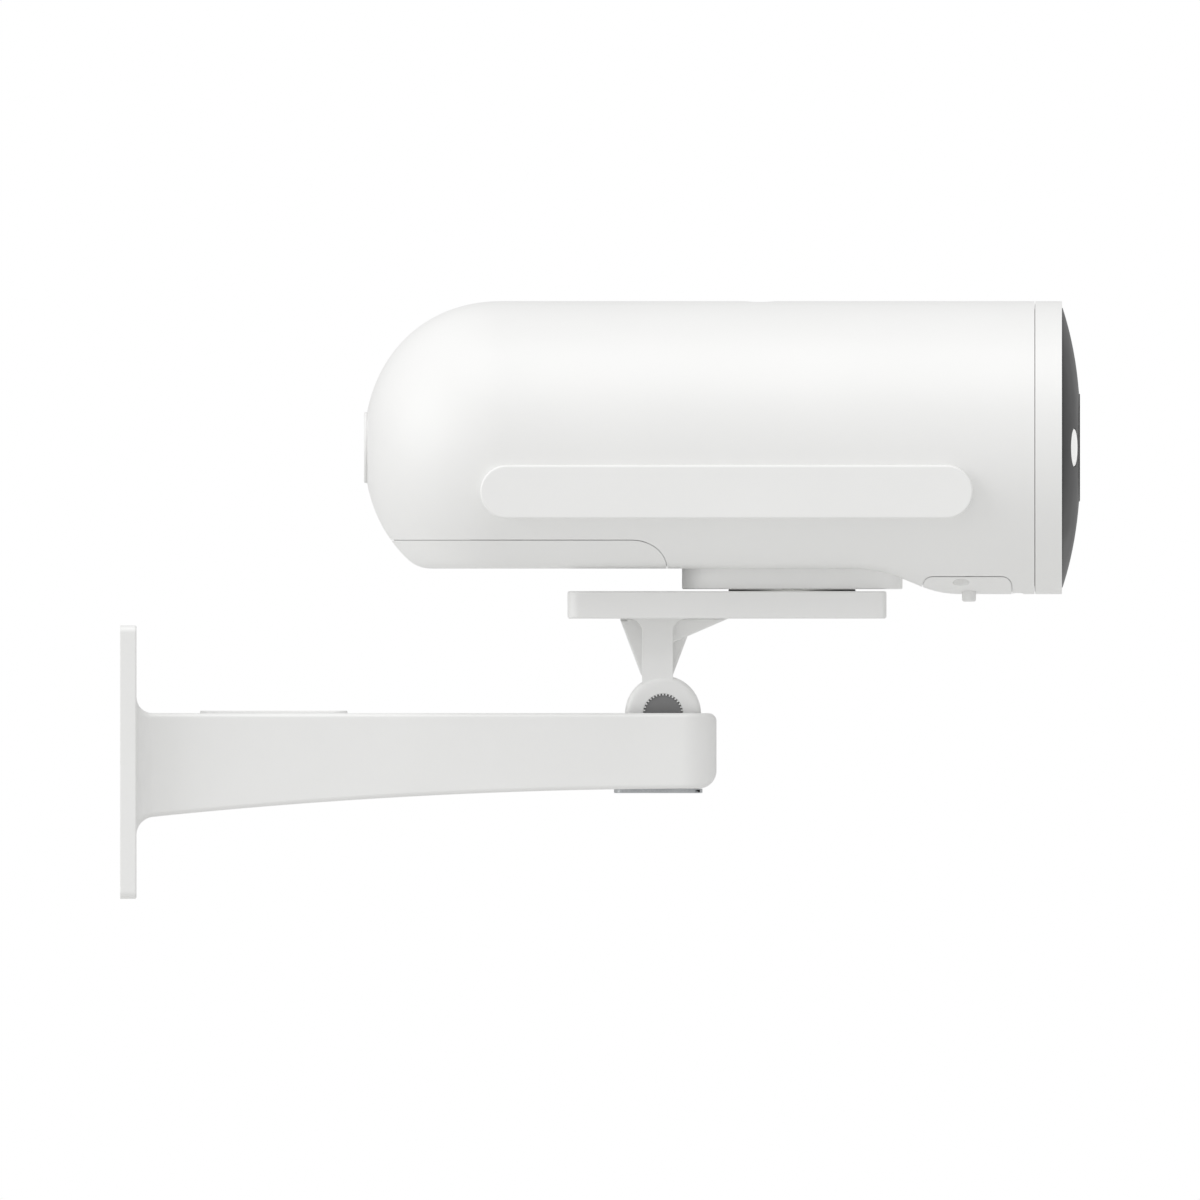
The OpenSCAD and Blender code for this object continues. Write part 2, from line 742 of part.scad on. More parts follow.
// Main board components under their shields
module shield_cans() {
    z = board_z + 1.65;
    color(STEEL) {
        box([272, -22, z], [304, 8, z + 3.2]);
        box([272, 14, z], [292, 30, z + 3.2]);
    }
}

module radio_module() {
    z = board_z + 1.65;
    color(STEEL) box([234, -30, z], [250, 0, z + 2.4]);
}

// Folded aluminium plate on top of the shields
module heat_spreader() {
    z = board_z + 4.9;
    color(STEEL) union() {
        box([268, -30, z], [316, 30, z + 2]);
        for (i = [0 : 5]) box([270, -28 + i * 11, z + 1], [314, -26.5 + i * 11, z + 10]);
    }
}

module board_screws() {
    color(STEEL) at_board_screws() translate([0, 0, board_z + 3.2]) rotate([180, 0, 0])
        socket_screw(1.25, 4.6, 2.4, 1.5);
}

module sensor_board() {
    color(GREEN) difference() {
        box([sensor_x + fit, -19, axis_z - 19], [sensor_x + 1.6, 19, axis_z + 19]);
        for (y = [-15, 15], z = [-15, 15]) rod_x(sensor_x - 1, sensor_x + 3, 1.2, y, z);
    }
}

module image_sensor() {
    color(GREY) box([sensor_x + 1.65, -4, axis_z - 3.2], [sensor_x + 2.8, 4, axis_z + 3.2]);
}

// Block on the sensor board that carries the lens and the sliding filter
module lens_holder() {
    x0 = sensor_x + 1.65;
    color(BLACK) difference() {
        box([x0, -13, axis_z - 13], [x0 + 14, 13, axis_z + 13]);
        rod_x(x0 - 1, x0 + 15, 6.4);
        box([x0 - 1, -6, axis_z - 5], [x0 + 2, 6, axis_z + 5]);
        rod_x(x0 + 6, x0 + 15, 9 + fit);
        box([x0 + 2.6, -14, axis_z - 7.4], [x0 + 4.4, 14, axis_z + 7.4]);
    }
}

// Frame with two small filters that slides across the light path
module ir_cut_filter() {
    x0 = sensor_x + 1.65 + 2.9;
    color(GREY) difference() {
        box([x0, -12, axis_z - 7.1], [x0 + 1.2, 5.5, axis_z + 7.1]);
        box([x0 - 1, -3.4, axis_z - 4], [x0 + 0.3, 3.4, axis_z + 4]);
        box([x0 - 1, -10.4, axis_z - 4], [x0 + 0.3, -3.8, axis_z + 4]);
    }
}

module lens_barrel() {
    x0 = sensor_x + 1.65 + 6.2;
    color(BLACK) difference() {
        union() {
            rod_x(x0, x0 + 9, 9);
            rod_x(x0 + 8, 376, 14);
            rod_x(370, 379.4, 18);
        }
        rod_x(x0 - 1, x0 + 10, 5.6);
        rod_x(x0 + 9, 374, 11);
        rod_x(373.4, 380, 15.5);
    }
}

// Points of a dome from radius r to the axis, at the apex x, in radius and X
function cap_points(r, sphere_r, x, steps = 14) = [for (i = [0 : steps])
    let (q = r * (1 - i / steps))
    [q, x - sphere_r + sqrt(sphere_r * sphere_r - q * q)]];

// A lens with a flat back at x0 and a domed front with its apex at x1
module lens(x0, x1, r, sphere_r) {
    translate([0, 0, axis_z]) rotate([0, 90, 0]) rotate_extrude()
        polygon(concat([[0, x0], [r, x0]], cap_points(r, sphere_r, x1)));
}

// Glass elements inside the barrel
module lens_elements() {
    x0 = sensor_x + 1.65 + 6.2;
    color("#334455") {
        lens(373.5, 378.4, 15.4, 32);
        lens(x0 + 12, x0 + 17, 10.9, 25);
        lens(x0 + 4, x0 + 6, 5.5, 20);
    }
}

// Flat ring around the lens, its front face the foremost point of the camera
module lens_ring() {
    x1 = lens_ring_x;
    color(BLACK) translate([0, 0, axis_z]) rotate([0, 90, 0]) rotate_extrude()
        polygon([[18.2, x1 - 6], [lens_ring_r, x1 - 6], [lens_ring_r, x1 - 0.5], [lens_ring_r - 0.5, x1],
            [19, x1], [15.6, x1 - 3.4], [15.6, x1 - 4.4], [18.2, x1 - 4.4]]);
}

module front_glass() {
    outer = [for (i = [0 : 24]) let (r = glass_r * (1 - i / 24)) [r, glass_x(r)]];
    inner = [for (i = [0 : 24]) let (r = (glass_r - 4) * i / 24) [r, glass_x(r) - 3]];
    color(BLACK) difference() {
        translate([0, 0, axis_z]) rotate([0, 90, 0]) rotate_extrude()
            polygon(concat([[glass_r - 4, seam_x + 4], [glass_r, seam_x + 4]], outer, inner));
        rod_x(seam_x, lens_ring_x + 1, lens_ring_r + 0.1);
        for (s = [-1, 1]) rod_x(seam_x, lens_ring_x + 1, window_r + 0.2, s * window_offset);
    }
}

// X of the front of the glass at a distance from the axis
function glass_x(r) = lens_ring_x + 0.3 - glass_drop * pow(r / glass_r, glass_power);

// Round diffuser in the glass, its face tilted to lie along the dome
module light_window(side) {
    tilt = atan(glass_drop * glass_power / glass_r * pow(window_offset / glass_r, glass_power - 1));
    color(WHITE) translate([glass_x(window_offset) - 0.1, side * window_offset, axis_z])
        rotate([0, 90, 0]) difference() {
            translate([0, 0, -4.6]) cylinder(h = 8, r = window_r);
            rotate([side * tilt, 0, 0]) translate([-20, -20, 0]) cube([40, 40, 10]);
        }
}

module light_window_right() { light_window(-1); }
module light_window_left() { light_window(1); }

module led_board() {
    color(GREEN) difference() {
        rod_x(led_x, led_x + 1.6, 46);
        rod_x(led_x - 1, led_x + 3, 20);
    }
}

// White spotlights behind the windows and infrared emitters around the lens
module light_leds() {
    x0 = led_x + 1.65;
    color("#f6efc8") {
        for (s = [-1, 1]) box([x0, s * window_offset - 2.5, axis_z - 2.5], [x0 + 1.5, s * window_offset + 2.5, axis_z + 2.5]);
        for (a = [60, 90, 120, 240, 270, 300])
            translate([0, 34 * cos(a), 34 * sin(a)]) rod_x(x0, x0 + 2.2, 1.75);
    }
}

module light_reflectors() {
    x0 = led_x + 1.65;
    color(STEEL) for (s = [-1, 1]) translate([x0, s * window_offset, axis_z]) rotate([0, 90, 0]) rotate_extrude()
        polygon([[4, 0], [4.8, 0], [8.2, 10.8], [7.4, 10.8]]);
}

module front_bezel() {
    x0 = seam_x + 0.3;
    color(WHITE) difference() {
        translate([0, 0, axis_z]) rotate([0, 90, 0]) rotate_extrude()
            polygon([[46.6, x0], [52.4, x0], [52.4, x0 - 4], [inner_r - 0.2, x0 - 4], [inner_r - 0.2, x0], [body_r, x0],
                [body_r, bezel_x - 0.5], [body_r - 0.4, bezel_x], [glass_r + 0.1, bezel_x],
                [glass_r + 0.1, x0 + 3.6], [46.6, x0 + 3.6]]);
        at_bezel_screws() rod_x(x0 - 5, x0 + 5, 1.5 + fit);
        at_bezel_screws() rod_x(x0 - 5, x0 - eps, 4.8);
        at_bezel_screws() rod_x(x0 + 1.6, x0 + 5, 3);
    }
}

module bezel_gasket() {
    color(RUBBER) difference() {
        rod_x(seam_x - 1.6, seam_x + 0.2, 47.8);
        rod_x(seam_x - 2.6, seam_x + 1, 46.8);
    }
}

module bezel_screws() {
    color(STEEL) at_bezel_screws() translate([seam_x + 3.6, 0, axis_z]) rotate([0, -90, 0])
        socket_screw(1.5, 14, 2.8, 1.6);
}

// ---- ports under the front -----------------------------------------------------------------------

button_x = 339.6;
button_y = -10;

// Tray above the port door, open to it
module port_tray() {
    z0 = door_z + 1.2;
    color(BLACK) difference() {
        union() {
            box([door_x0 + 4.5, -19, z0], [door_x1 - 4.5, 19, z0 + 1.6]);
            for (s = [-1, 1]) box([door_x0 + 4.5, s * 18 - 1, z0], [door_x1 - 4.5, s * 18 + 1, z0 + 9]);
        }
        rod_z(z0 - 1, z0 + 2, 4.4, button_x, button_y);
        box([door_x0 + 9, 2, z0 - 1], [door_x1 - 10, 9, z0 + 2]);
    }
}

module card_socket() {
    z0 = door_z + 2.9;
    color(STEEL) difference() {
        box([door_x0 + 7.5, 0.5, z0], [door_x1 - 8.5, 10.5, z0 + 14]);
        box([door_x0 + 10, 4, z0 - 1], [door_x1 - 12, 5.6, z0 + 12]);
    }
}

module reset_switch() {
    z0 = door_z + 2.9;
    color(BLACK) box([button_x - 5, button_y - 5, z0 + 1.8], [button_x + 5, button_y + 5, z0 + 5]);
}

module microphone() {
    z0 = axis_z - inner_r + 0.5;
    color(STEEL) rod_z(z0, z0 + 3, 2.2, mic_x, 0);
}

// Curved door under the front, with two finger recesses and the hole of the reset button
module access_door() {
    color(WHITE) difference() {
        intersection() {
            difference() {
                rod_x(door_x0 - 10, door_x1 + 8, body_r, $fn = 180);
                along_y(-body_r, body_r) below_underside();
            }
            along_y(-body_r - 1, body_r + 1) door_region(-seam_gap);
        }
        box([door_x0 + 5.5, -15, axis_z - body_r + 3], [door_x1 - 5.5, 15, door_z + 1]);
        for (s = [-1, 1]) rod_z(axis_z - body_r, door_z - 0.7, 3.4, 336.4, s * 22.8);
        rod_z(axis_z - body_r - 2, door_z + 1, button_r + fit, button_x, button_y);
    }
}

module reset_button() {
    low = axis_z - body_r - 3;
    seat = axis_z - body_r + 3;
    color(WHITE) union() {
        rod_z(low, seat + 2, button_r, button_x, button_y);
        rod_z(seat + fit, seat + 1.2, button_r + 1.2, button_x, button_y);
        rod_z(seat + 1, door_z + 3.2, 1.4, button_x, button_y);
    }
}

wall_plate();
arm();
arm_screws();
cable_cover();
cable_cover_screws();
hinge_block();
hinge_block_screws();
lock_plate();
lock_plate_screws();
tilt_lock_screw();
bracket();
tilt_pin();
tilt_pin_cap();
pan_washer();
pan_bolt();
pan_bolt_washer();
mount_block();
mount_screws();
housing();
antenna_cover_right();
antenna_cover_left();
antenna_right();
antenna_left();
vent_plug();
power_inlet();
inlet_nut();
rear_cap();
rear_hatch();
hatch_gasket();
battery_case();
battery_cells();
battery_contacts();
chassis();
main_board();
heat_spreader();
shield_cans();
board_screws();
radio_module();
sensor_board();
image_sensor();
lens_holder();
ir_cut_filter();
lens_barrel();
lens_elements();
lens_ring();
led_board();
light_leds();
light_reflectors();
light_window_right();
light_window_left();
front_glass();
front_bezel();
bezel_gasket();
bezel_screws();
port_tray();
card_socket();
reset_switch();
microphone();
access_door();
reset_button();
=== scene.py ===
import json
import math

import bmesh
import bpy
from mathutils import Matrix, Vector

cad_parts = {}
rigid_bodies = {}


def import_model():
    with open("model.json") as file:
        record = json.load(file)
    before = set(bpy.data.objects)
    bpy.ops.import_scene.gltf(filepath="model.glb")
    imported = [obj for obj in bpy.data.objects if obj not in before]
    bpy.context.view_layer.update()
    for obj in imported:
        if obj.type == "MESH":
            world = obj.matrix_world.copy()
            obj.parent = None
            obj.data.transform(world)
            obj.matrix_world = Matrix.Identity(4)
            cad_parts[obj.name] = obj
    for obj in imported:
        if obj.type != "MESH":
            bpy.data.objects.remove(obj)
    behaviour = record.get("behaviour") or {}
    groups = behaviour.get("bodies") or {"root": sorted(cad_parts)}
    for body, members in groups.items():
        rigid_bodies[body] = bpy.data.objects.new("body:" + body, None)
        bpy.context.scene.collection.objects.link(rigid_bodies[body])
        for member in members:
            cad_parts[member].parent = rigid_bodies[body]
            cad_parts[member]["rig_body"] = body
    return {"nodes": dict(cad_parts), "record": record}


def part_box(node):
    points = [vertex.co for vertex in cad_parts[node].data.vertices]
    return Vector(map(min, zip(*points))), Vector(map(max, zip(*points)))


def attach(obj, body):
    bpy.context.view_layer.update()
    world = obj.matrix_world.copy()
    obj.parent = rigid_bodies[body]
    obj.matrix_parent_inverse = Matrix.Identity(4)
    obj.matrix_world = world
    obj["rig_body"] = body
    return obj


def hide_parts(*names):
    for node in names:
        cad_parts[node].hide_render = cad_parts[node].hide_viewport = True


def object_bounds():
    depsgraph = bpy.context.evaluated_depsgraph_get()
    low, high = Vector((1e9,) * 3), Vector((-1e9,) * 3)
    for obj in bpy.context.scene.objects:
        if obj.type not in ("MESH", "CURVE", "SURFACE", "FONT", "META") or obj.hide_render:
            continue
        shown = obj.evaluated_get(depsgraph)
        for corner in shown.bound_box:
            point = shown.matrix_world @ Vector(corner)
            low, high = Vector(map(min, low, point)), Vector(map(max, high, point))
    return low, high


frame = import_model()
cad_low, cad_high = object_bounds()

MM = 0.001  # shapes are worked out in millimetres and stored in metres
QUARTER = math.pi / 2


def box_mm(node):
    """Lowest and highest corner of a CAD node, in millimetres."""
    low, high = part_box(node)
    return low / MM, high / MM


# Groups of equal screws: shank radius, length, head radius, head height, flat; way the heads face; rows
SCREWS = {
    "arm_screws": ((2, 19, 4, 2, True), "-X", 2),
    "cable_cover_screws": ((1.5, 8, 2.4, 1, True), "+Z", 1),
    "lock_plate_screws": ((1.5, 4.6, 2.9, 1, True), "-Z", 2),
    "hinge_block_screws": ((2, 11, 3.6, 1.5, False), "-Z", 1),
    "mount_screws": ((2, 9.5, 3.6, 2.6, False), "-Z", 2),
    "bezel_screws": ((1.5, 14, 2.8, 1.6, False), "+X", 2),
    "board_screws": ((1.25, 4.5, 2.4, 1.6, False), "+Z", 2),
}


def centres(node, r):
    """The two extreme centres of a CAD group of round things of radius r, from the group's box."""
    low, high = box_mm(node)
    return low + Vector((r, r, r)), high - Vector((r, r, r))


def screw_centres(node):
    return centres(node, SCREWS[node][0][2])


# ---- sizes, from the frame ---------------------------------------------------------------------------

bezel_low, bezel_high = box_mm("front_bezel")
hatch_low, hatch_high = box_mm("rear_hatch")
door_low, door_high = box_mm("access_door")
cap_low, cap_high = box_mm("rear_cap")
ring_low, ring_high = box_mm("lens_ring")
block_low, block_high = box_mm("mount_block")
bracket_low, bracket_high = box_mm("bracket")
arm_low, arm_high = box_mm("arm")
wall_low, wall_high = box_mm("wall_plate")
pin_low, pin_high = box_mm("tilt_pin")
plug_low, plug_high = box_mm("vent_plug")
glass_low, glass_high = box_mm("front_glass")

axis_z = (bezel_low.z + bezel_high.z) / 2
body_r = (bezel_high.z - bezel_low.z) / 2
rear_x = cap_low.x
seam_x = box_mm("housing")[1].x
under_z = hatch_low.z
tilt_x = (pin_low.x + pin_high.x) / 2
tilt_z = (pin_low.z + pin_high.z) / 2

# Camera: the housing's form, its openings and the small parts in them
wall = 3.0
dome_len = 55.6
dome_power = 2.15  # roundness of the rear dome, 2 would be an ellipse
dome_x = rear_x + dome_len
ramp_x = 293.4  # where the underside starts to bend away
ramp_r = 50.0
ramp_angle = math.radians(22.8)
inlet_hole_r = 10.35
vent_r = 6.0
mic_slot_x, mic_slot_y = 2.0, 7.0  # half sizes
finger_r = 3.4
button_r = 2.8
button_flange_r = 4.0
under_blend = 3.4  # softness of the edge between side and underside
seam_gap = 0.15
hatch_corner = 14.0
hatch_seam_z = hatch_high.z + seam_gap
hatch_front = hatch_high.x + seam_gap
cap_r = (cap_high.z - cap_low.z) / 2
AXIS = (0, axis_z)
wall_screws = next(m for m in frame["record"]["mounts"] if m["name"] == "wall_holes")["dims"]

# Front: the glass falls back by glass_drop at its rim, on a power curve
glass_r = (glass_high.z - glass_low.z) / 2
glass_drop = 7.35
glass_power = 2.5
window_r = 7.6
window_offset = 35.6

# Bracket and hinge
pan_x = sum(v.x for v in box_mm("pan_washer")) / 2
pan_hole_r = 4.05
plate_z0 = bracket_high.z - 11
ear_r = 15.2
ear_half = 16.0
hub_r = (pin_high.z - pin_low.z) / 2
tooth_root = hub_r + 0.65

# Arm
lid_low, lid_high = box_mm("cable_cover")
arm_top = arm_high.z
arm_bottom = box_mm("lock_plate")[1].z
arm_drop = 11.0
arch_end, arch_span = 232.0, 216.0  # the arch under the arm ends level at arch_end
arm_t = 4.0
arm_corner = 14.0
arm_screw_r = 2.05
root_r = 6.4


# ---- meshes ------------------------------------------------------------------------------------------

def solid(name, points, faces):
    """A closed mesh object from points in millimetres, welded and facing outwards."""
    mesh = bpy.data.meshes.new(name)
    mesh.from_pydata([(x * MM, y * MM, z * MM) for x, y, z in points], [], faces)
    made = bpy.data.objects.new(name, mesh)
    bpy.context.scene.collection.objects.link(made)
    tidy(made)
    return made


def tidy(made, weld=2e-6):
    """Welds doubled points, drops slivers and turns every face outwards."""
    work = bmesh.new()
    work.from_mesh(made.data)
    bmesh.ops.remove_doubles(work, verts=work.verts, dist=weld)
    bmesh.ops.dissolve_degenerate(work, edges=work.edges, dist=weld)
    bmesh.ops.recalc_face_normals(work, faces=work.faces)
    work.to_mesh(made.data)
    work.free()


def bake(made):
    """Turns an object's modifiers into its plain mesh."""
    graph = bpy.context.evaluated_depsgraph_get()
    mesh = bpy.data.meshes.new_from_object(made.evaluated_get(graph))
    old = made.data
    made.modifiers.clear()
    made.data = mesh
    bpy.data.meshes.remove(old)
    return made


def discard(spare):
    mesh = spare.data
    bpy.data.objects.remove(spare)
    bpy.data.meshes.remove(mesh)


def combine(made, other, operation):
    """Cuts, joins or intersects one solid with another, which is used up."""
    step = made.modifiers.new("combine", "BOOLEAN")
    step.operation = operation
    step.object = other
    step.solver = "EXACT"
    bake(made)
    discard(other)
    tidy(made)
    return made


def cut(made, *tools):
    for tool in tools:
        combine(made, tool, "DIFFERENCE")
    return made


def join(made, *others):
    for other in others:
        combine(made, other, "UNION")
    return made


def copy_of(made, name):
    twin = bpy.data.objects.new(name, made.data.copy())
    bpy.context.scene.collection.objects.link(twin)
    return twin


def round_edges(made, width, segments=3, angle=40):
    """Rounds every edge sharper than the angle."""
    step = made.modifiers.new("round", "BEVEL")
    step.width = width * MM
    step.segments = segments
    step.limit_method = "ANGLE"
    step.angle_limit = math.radians(angle)
    return bake(made)


def shade(made, angle=32):
    """Smooth shading with real edges kept sharp, and flat faces kept flat beside round edges."""
    for face in made.data.polygons:
        face.use_smooth = True
    made.data.set_sharp_from_angle(angle=math.radians(angle))
    step = made.modifiers.new("weights", "WEIGHTED_NORMAL")
    step.keep_sharp = True
    step.weight = 100
    return bake(made)


def grid_faces(rows, columns, closed_rows=False):
    """Quads of a grid whose columns run round a ring."""
    faces = []
    for i in range(rows if closed_rows else rows - 1):
        for k in range(columns):
            n = (k + 1) % columns
            j = (i + 1) % rows
            faces.append((i * columns + k, i * columns + n, j * columns + n, j * columns + k))
    return faces


def stack(name, loops, cap_first=True, cap_last=True):
    """A solid from loops of equal length, capped at its ends."""
    count = len(loops[0])
    faces = grid_faces(len(loops), count, closed_rows=not (cap_first or cap_last))
    if cap_first:
        faces.append(tuple(range(count)))
    if cap_last:
        faces.append(tuple(range((len(loops) - 1) * count, len(loops) * count)))
    return solid(name, [p for loop in loops for p in loop], faces)


def lathe(name, profile, centre, axis="X", steps=128):
    """A solid of revolution from (radius, place along the axis) pairs, about a line through centre."""
    loops = []
    for r, along in profile:
        loop = []
        for k in range(steps):
            t = 2 * math.pi * k / steps
            a, b = max(r, 1e-4) * math.cos(t), max(r, 1e-4) * math.sin(t)
            loop.append({
                "X": (along, centre[0] + a, centre[1] + b),
                "Y": (centre[0] + a, along, centre[1] + b),
                "Z": (centre[0] + a, centre[1] + b, along),
            }[axis])
        loops.append(loop)
    closed = profile[0][0] > 0 and profile[-1][0] > 0
    return stack(name, loops, not closed, not closed)


# Where a flat outline's point (a, b) lies when it is set at c along an axis
PLACES = {"Z": lambda a, b, c: (a, b, c), "Y": lambda a, b, c: (a, c, b), "X": lambda a, b, c: (c, a, b)}


def prism(name, outline, low, high, axis="Y"):
    """A flat outline extruded along an axis."""
    return stack(name, [[PLACES[axis](a, b, at) for a, b in outline] for at in (low, high)])


def block(name, low, high):
    x0, y0, z0 = low
    x1, y1, z1 = high
    return prism(name, [(x0, y0), (x1, y0), (x1, y1), (x0, y1)], z0, z1, "Z")


def rod(name, centre, radius, low, high, axis, steps=48):
    return lathe(name, [(0, low), (radius, low), (radius, high), (0, high)], centre, axis, steps)


def arc(cx, cy, r, start, end, steps):
    """Points on an arc, angles in degrees."""
    turn = [math.radians(start + (end - start) * i / steps) for i in range(steps + 1)]
    return [(cx + r * math.cos(t), cy + r * math.sin(t)) for t in turn]


def plan(x0, x1, half, r0, r1, inset=0.0, steps=10):
    """A rectangle with round corners in the plane, rear corners r0 and front corners r1."""
    a, b = max(r0 - inset, 0.05), max(r1 - inset, 0.05)
    x0, x1, half = x0 + inset, x1 - inset, half - inset
    return (arc(x0 + a, -half + a, a, 180, 270, steps) + arc(x1 - b, -half + b, b, 270, 360, steps)
            + arc(x1 - b, half - b, b, 0, 90, steps) + arc(x0 + a, half - a, a, 90, 180, steps))


def slab(name, outline, low, high, round_low, round_high, axis="Z", steps=4):
    """A plate from outline(inset), extruded from low to high, with its two rims rounded."""
    levels = []
    for i in range(steps + 1):
        t = math.pi / 2 * i / steps
        levels.append((round_low * (1 - math.sin(t)), low + round_low * (1 - math.cos(t))))
    for i in range(steps + 1):
        t = math.pi / 2 * i / steps
        levels.append((round_high * (1 - math.cos(t)), high - round_high * (1 - math.sin(t))))
    return stack(name, [[PLACES[axis](a, b, at) for a, b in outline(inset)] for inset, at in levels])


def show(made, material, body, slot, *nodes):
    """Gives a finished piece its material and its body, and hides the CAD nodes it stands for; slot is not
    used.
    """
    made.data.materials.clear()
    made.data.materials.append(material)
    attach(made, body)
    if nodes:
        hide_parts(*nodes)
    return made


# ---- material helpers --------------------------------------------------------------------------------

def linear(code):
    """An sRGB hex colour as linear red, green, blue and alpha."""
    parts = [int(code[i:i + 2], 16) / 255 for i in (1, 3, 5)]
    return tuple(c / 12.92 if c <= 0.04045 else ((c + 0.055) / 1.055) ** 2.4 for c in parts) + (1.0,)


def add(tree, kind, inputs=None, **settings):
    """Adds a node, sets its properties, and fills its inputs with values or with other nodes' outputs."""
    node = tree.nodes.new(kind)
    for key, value in settings.items():
        setattr(node, key, value)
    for key, value in (inputs or {}).items():
        if isinstance(value, bpy.types.NodeSocket):
            tree.links.new(value, node.inputs[key])
        else:
            node.inputs[key].default_value = value
    return node


def start(name, **values):
    """A new material with its Principled shader, the fixed values set on the shader's own sockets."""
    material = bpy.data.materials.new(name)
    material.use_nodes = True
    tree = material.node_tree
    shader = tree.nodes["Principled BSDF"]
    for key, value in values.items():
        shader.inputs[key.replace("_", " ")].default_value = value
    shader.inputs["Subsurface Radius"].default_value = (1.0, 1.0, 1.0)
    return material, tree, shader


def surface(tree, shader, light, dark, patch, grain, rough, rough_spread, depth, detail=3.0):
    """Two close colours in soft patches, roughness that varies a little, and a grain in the bump.

    patch and grain are sizes in millimetres, depth is the grain's height in millimetres.
    """
    place = add(tree, "ShaderNodeTexCoord").outputs["Object"]
    patches = add(tree, "ShaderNodeTexNoise", {"Vector": place, "Scale": 1 / (patch * MM), "Detail": 2.0})
    colour = add(tree, "ShaderNodeMix",
                 {"Factor": patches.outputs["Fac"], "A": linear(light), "B": linear(dark)}, data_type="RGBA")
    tree.links.new(colour.outputs["Result"], shader.inputs["Base Color"])
    grains = add(tree, "ShaderNodeTexNoise", {"Vector": place, "Scale": 1 / (grain * MM), "Detail": detail})
    spread = add(tree, "ShaderNodeMapRange", {"Value": grains.outputs["Fac"], "From Min": 0.3, "From Max": 0.7,
                                              "To Min": rough - rough_spread, "To Max": rough + rough_spread})
    tree.links.new(spread.outputs["Result"], shader.inputs["Roughness"])
    bump = add(tree, "ShaderNodeBump",
               {"Height": grains.outputs["Fac"], "Strength": 0.6, "Distance": depth * MM})
    tree.links.new(bump.outputs["Normal"], shader.inputs["Normal"])
    return place, colour


# ---- materials ---------------------------------------------------------------------------------------

def white_plastic():
    # UV-stable white ASA, satin spark-eroded mould texture of about 0.3 mm
    material, tree, shader = start("white_plastic", IOR=1.52)
    surface(tree, shader, "#f4f4f3", "#f0f0ef", 45, 0.3, 0.44, 0.04, 0.006)
    return material


def white_paint():
    # White polyester powder coat on steel and aluminium, orange peel of about 1.2 mm
    material, tree, shader = start("white_paint", IOR=1.54, Coat_Weight=0.12, Coat_Roughness=0.3)
    surface(tree, shader, "#f1f1f0", "#ededec", 30, 1.2, 0.4, 0.05, 0.01, 2.0)
    return material


def black_plastic():
    # Black glass-filled nylon, fine moulded texture of about 0.25 mm
    material, tree, shader = start("black_plastic", IOR=1.53)
    surface(tree, shader, "#1b1b1c", "#141415", 20, 0.25, 0.5, 0.06, 0.008)
    return material


def grey_metal():
    # Zinc-phosphated steel, matt mid grey crystals of about 0.2 mm
    material, tree, shader = start("grey_metal", IOR=1.6, Specular_IOR_Level=0.3)
    surface(tree, shader, "#848484", "#7e7e7f", 6, 0.2, 0.6, 0.05, 0.006)
    return material


def steel():
    # Bright zinc-plated steel with fine turning marks of about 0.15 mm
    material, tree, shader = start("steel", Metallic=1.0)
    surface(tree, shader, "#c9cbcd", "#b3b6b9", 5, 0.15, 0.3, 0.07, 0.003)
    return material


def aluminium():
    # Plain die-cast and rolled aluminium, brushed grain of about 0.4 mm
    material, tree, shader = start("aluminium", Metallic=1.0)
    surface(tree, shader, "#d3d4d5", "#bfc1c3", 12, 0.4, 0.42, 0.06, 0.006)
    return material


def rubber():
    # Black EPDM, dull, with a fine bloom
    material, tree, shader = start("rubber", IOR=1.5)
    surface(tree, shader, "#2c2c2d", "#222223", 4, 0.3, 0.78, 0.06, 0.012)
    return material


def white_rubber():
    # White silicone, soft satin skin
    material, tree, shader = start("white_rubber", IOR=1.42, Subsurface_Weight=0.1, Subsurface_Scale=0.002)
    surface(tree, shader, "#efefee", "#e9e9e8", 8, 0.4, 0.58, 0.05, 0.006)
    return material


def circuit_board():
    # Green solder mask over glass epoxy, copper tracks of about 0.5 mm showing through
    material, tree, shader = start("circuit_board", IOR=1.56, Coat_Weight=0.4, Coat_Roughness=0.18)
    place, colour = surface(tree, shader, "#1f5a3c", "#184a31", 9, 0.6, 0.38, 0.05, 0.008)
    tracks = add(tree, "ShaderNodeTexBrick", {"Vector": place, "Scale": 1 / (9 * MM), "Mortar Size": 0.035,
                                              "Color1": linear("#1f5a3c"), "Color2": linear("#1a4f35"),
                                              "Mortar": linear("#3c7d55")})
    tree.links.new(tracks.outputs["Color"], colour.inputs["A"])
    return material


def copper():
    # Phosphor bronze spring strip, lightly tarnished
    material, tree, shader = start("copper", Metallic=1.0)
    surface(tree, shader, "#c99364", "#b37f54", 4, 0.3, 0.34, 0.07, 0.004)
    return material


def battery_wrap():
    # Blue heat-shrink PVC sleeve, glossy, with slight wrinkles of about 2 mm
    material, tree, shader = start("battery_wrap", IOR=1.53, Coat_Weight=0.3, Coat_Roughness=0.12)
    surface(tree, shader, "#3c6ea8", "#35639a", 15, 2.0, 0.3, 0.05, 0.03, 1.5)
    return material


def diffuser():
    # Opal polycarbonate window, milky and satin, faintly lit by the lamps behind it
    material, tree, shader = start("diffuser", IOR=1.586, Emission_Strength=0.22)
    shader.inputs["Emission Color"].default_value = linear("#ffffff")
    surface(tree, shader, "#fbfbfa", "#f6f6f5", 3, 0.2, 0.3, 0.04, 0.004)
    return material


def lens_glass():
    # Coated optical glass, deep blue-violet bloom over a dark barrel
    material, tree, shader = start("lens_glass", IOR=1.62, Coat_Weight=1.0, Coat_Roughness=0.02)
    surface(tree, shader, "#10121c", "#171327", 8, 0.5, 0.05, 0.01, 0.0005)
    shader.inputs["Coat Tint"].default_value = linear("#b9b4ff")
    return material


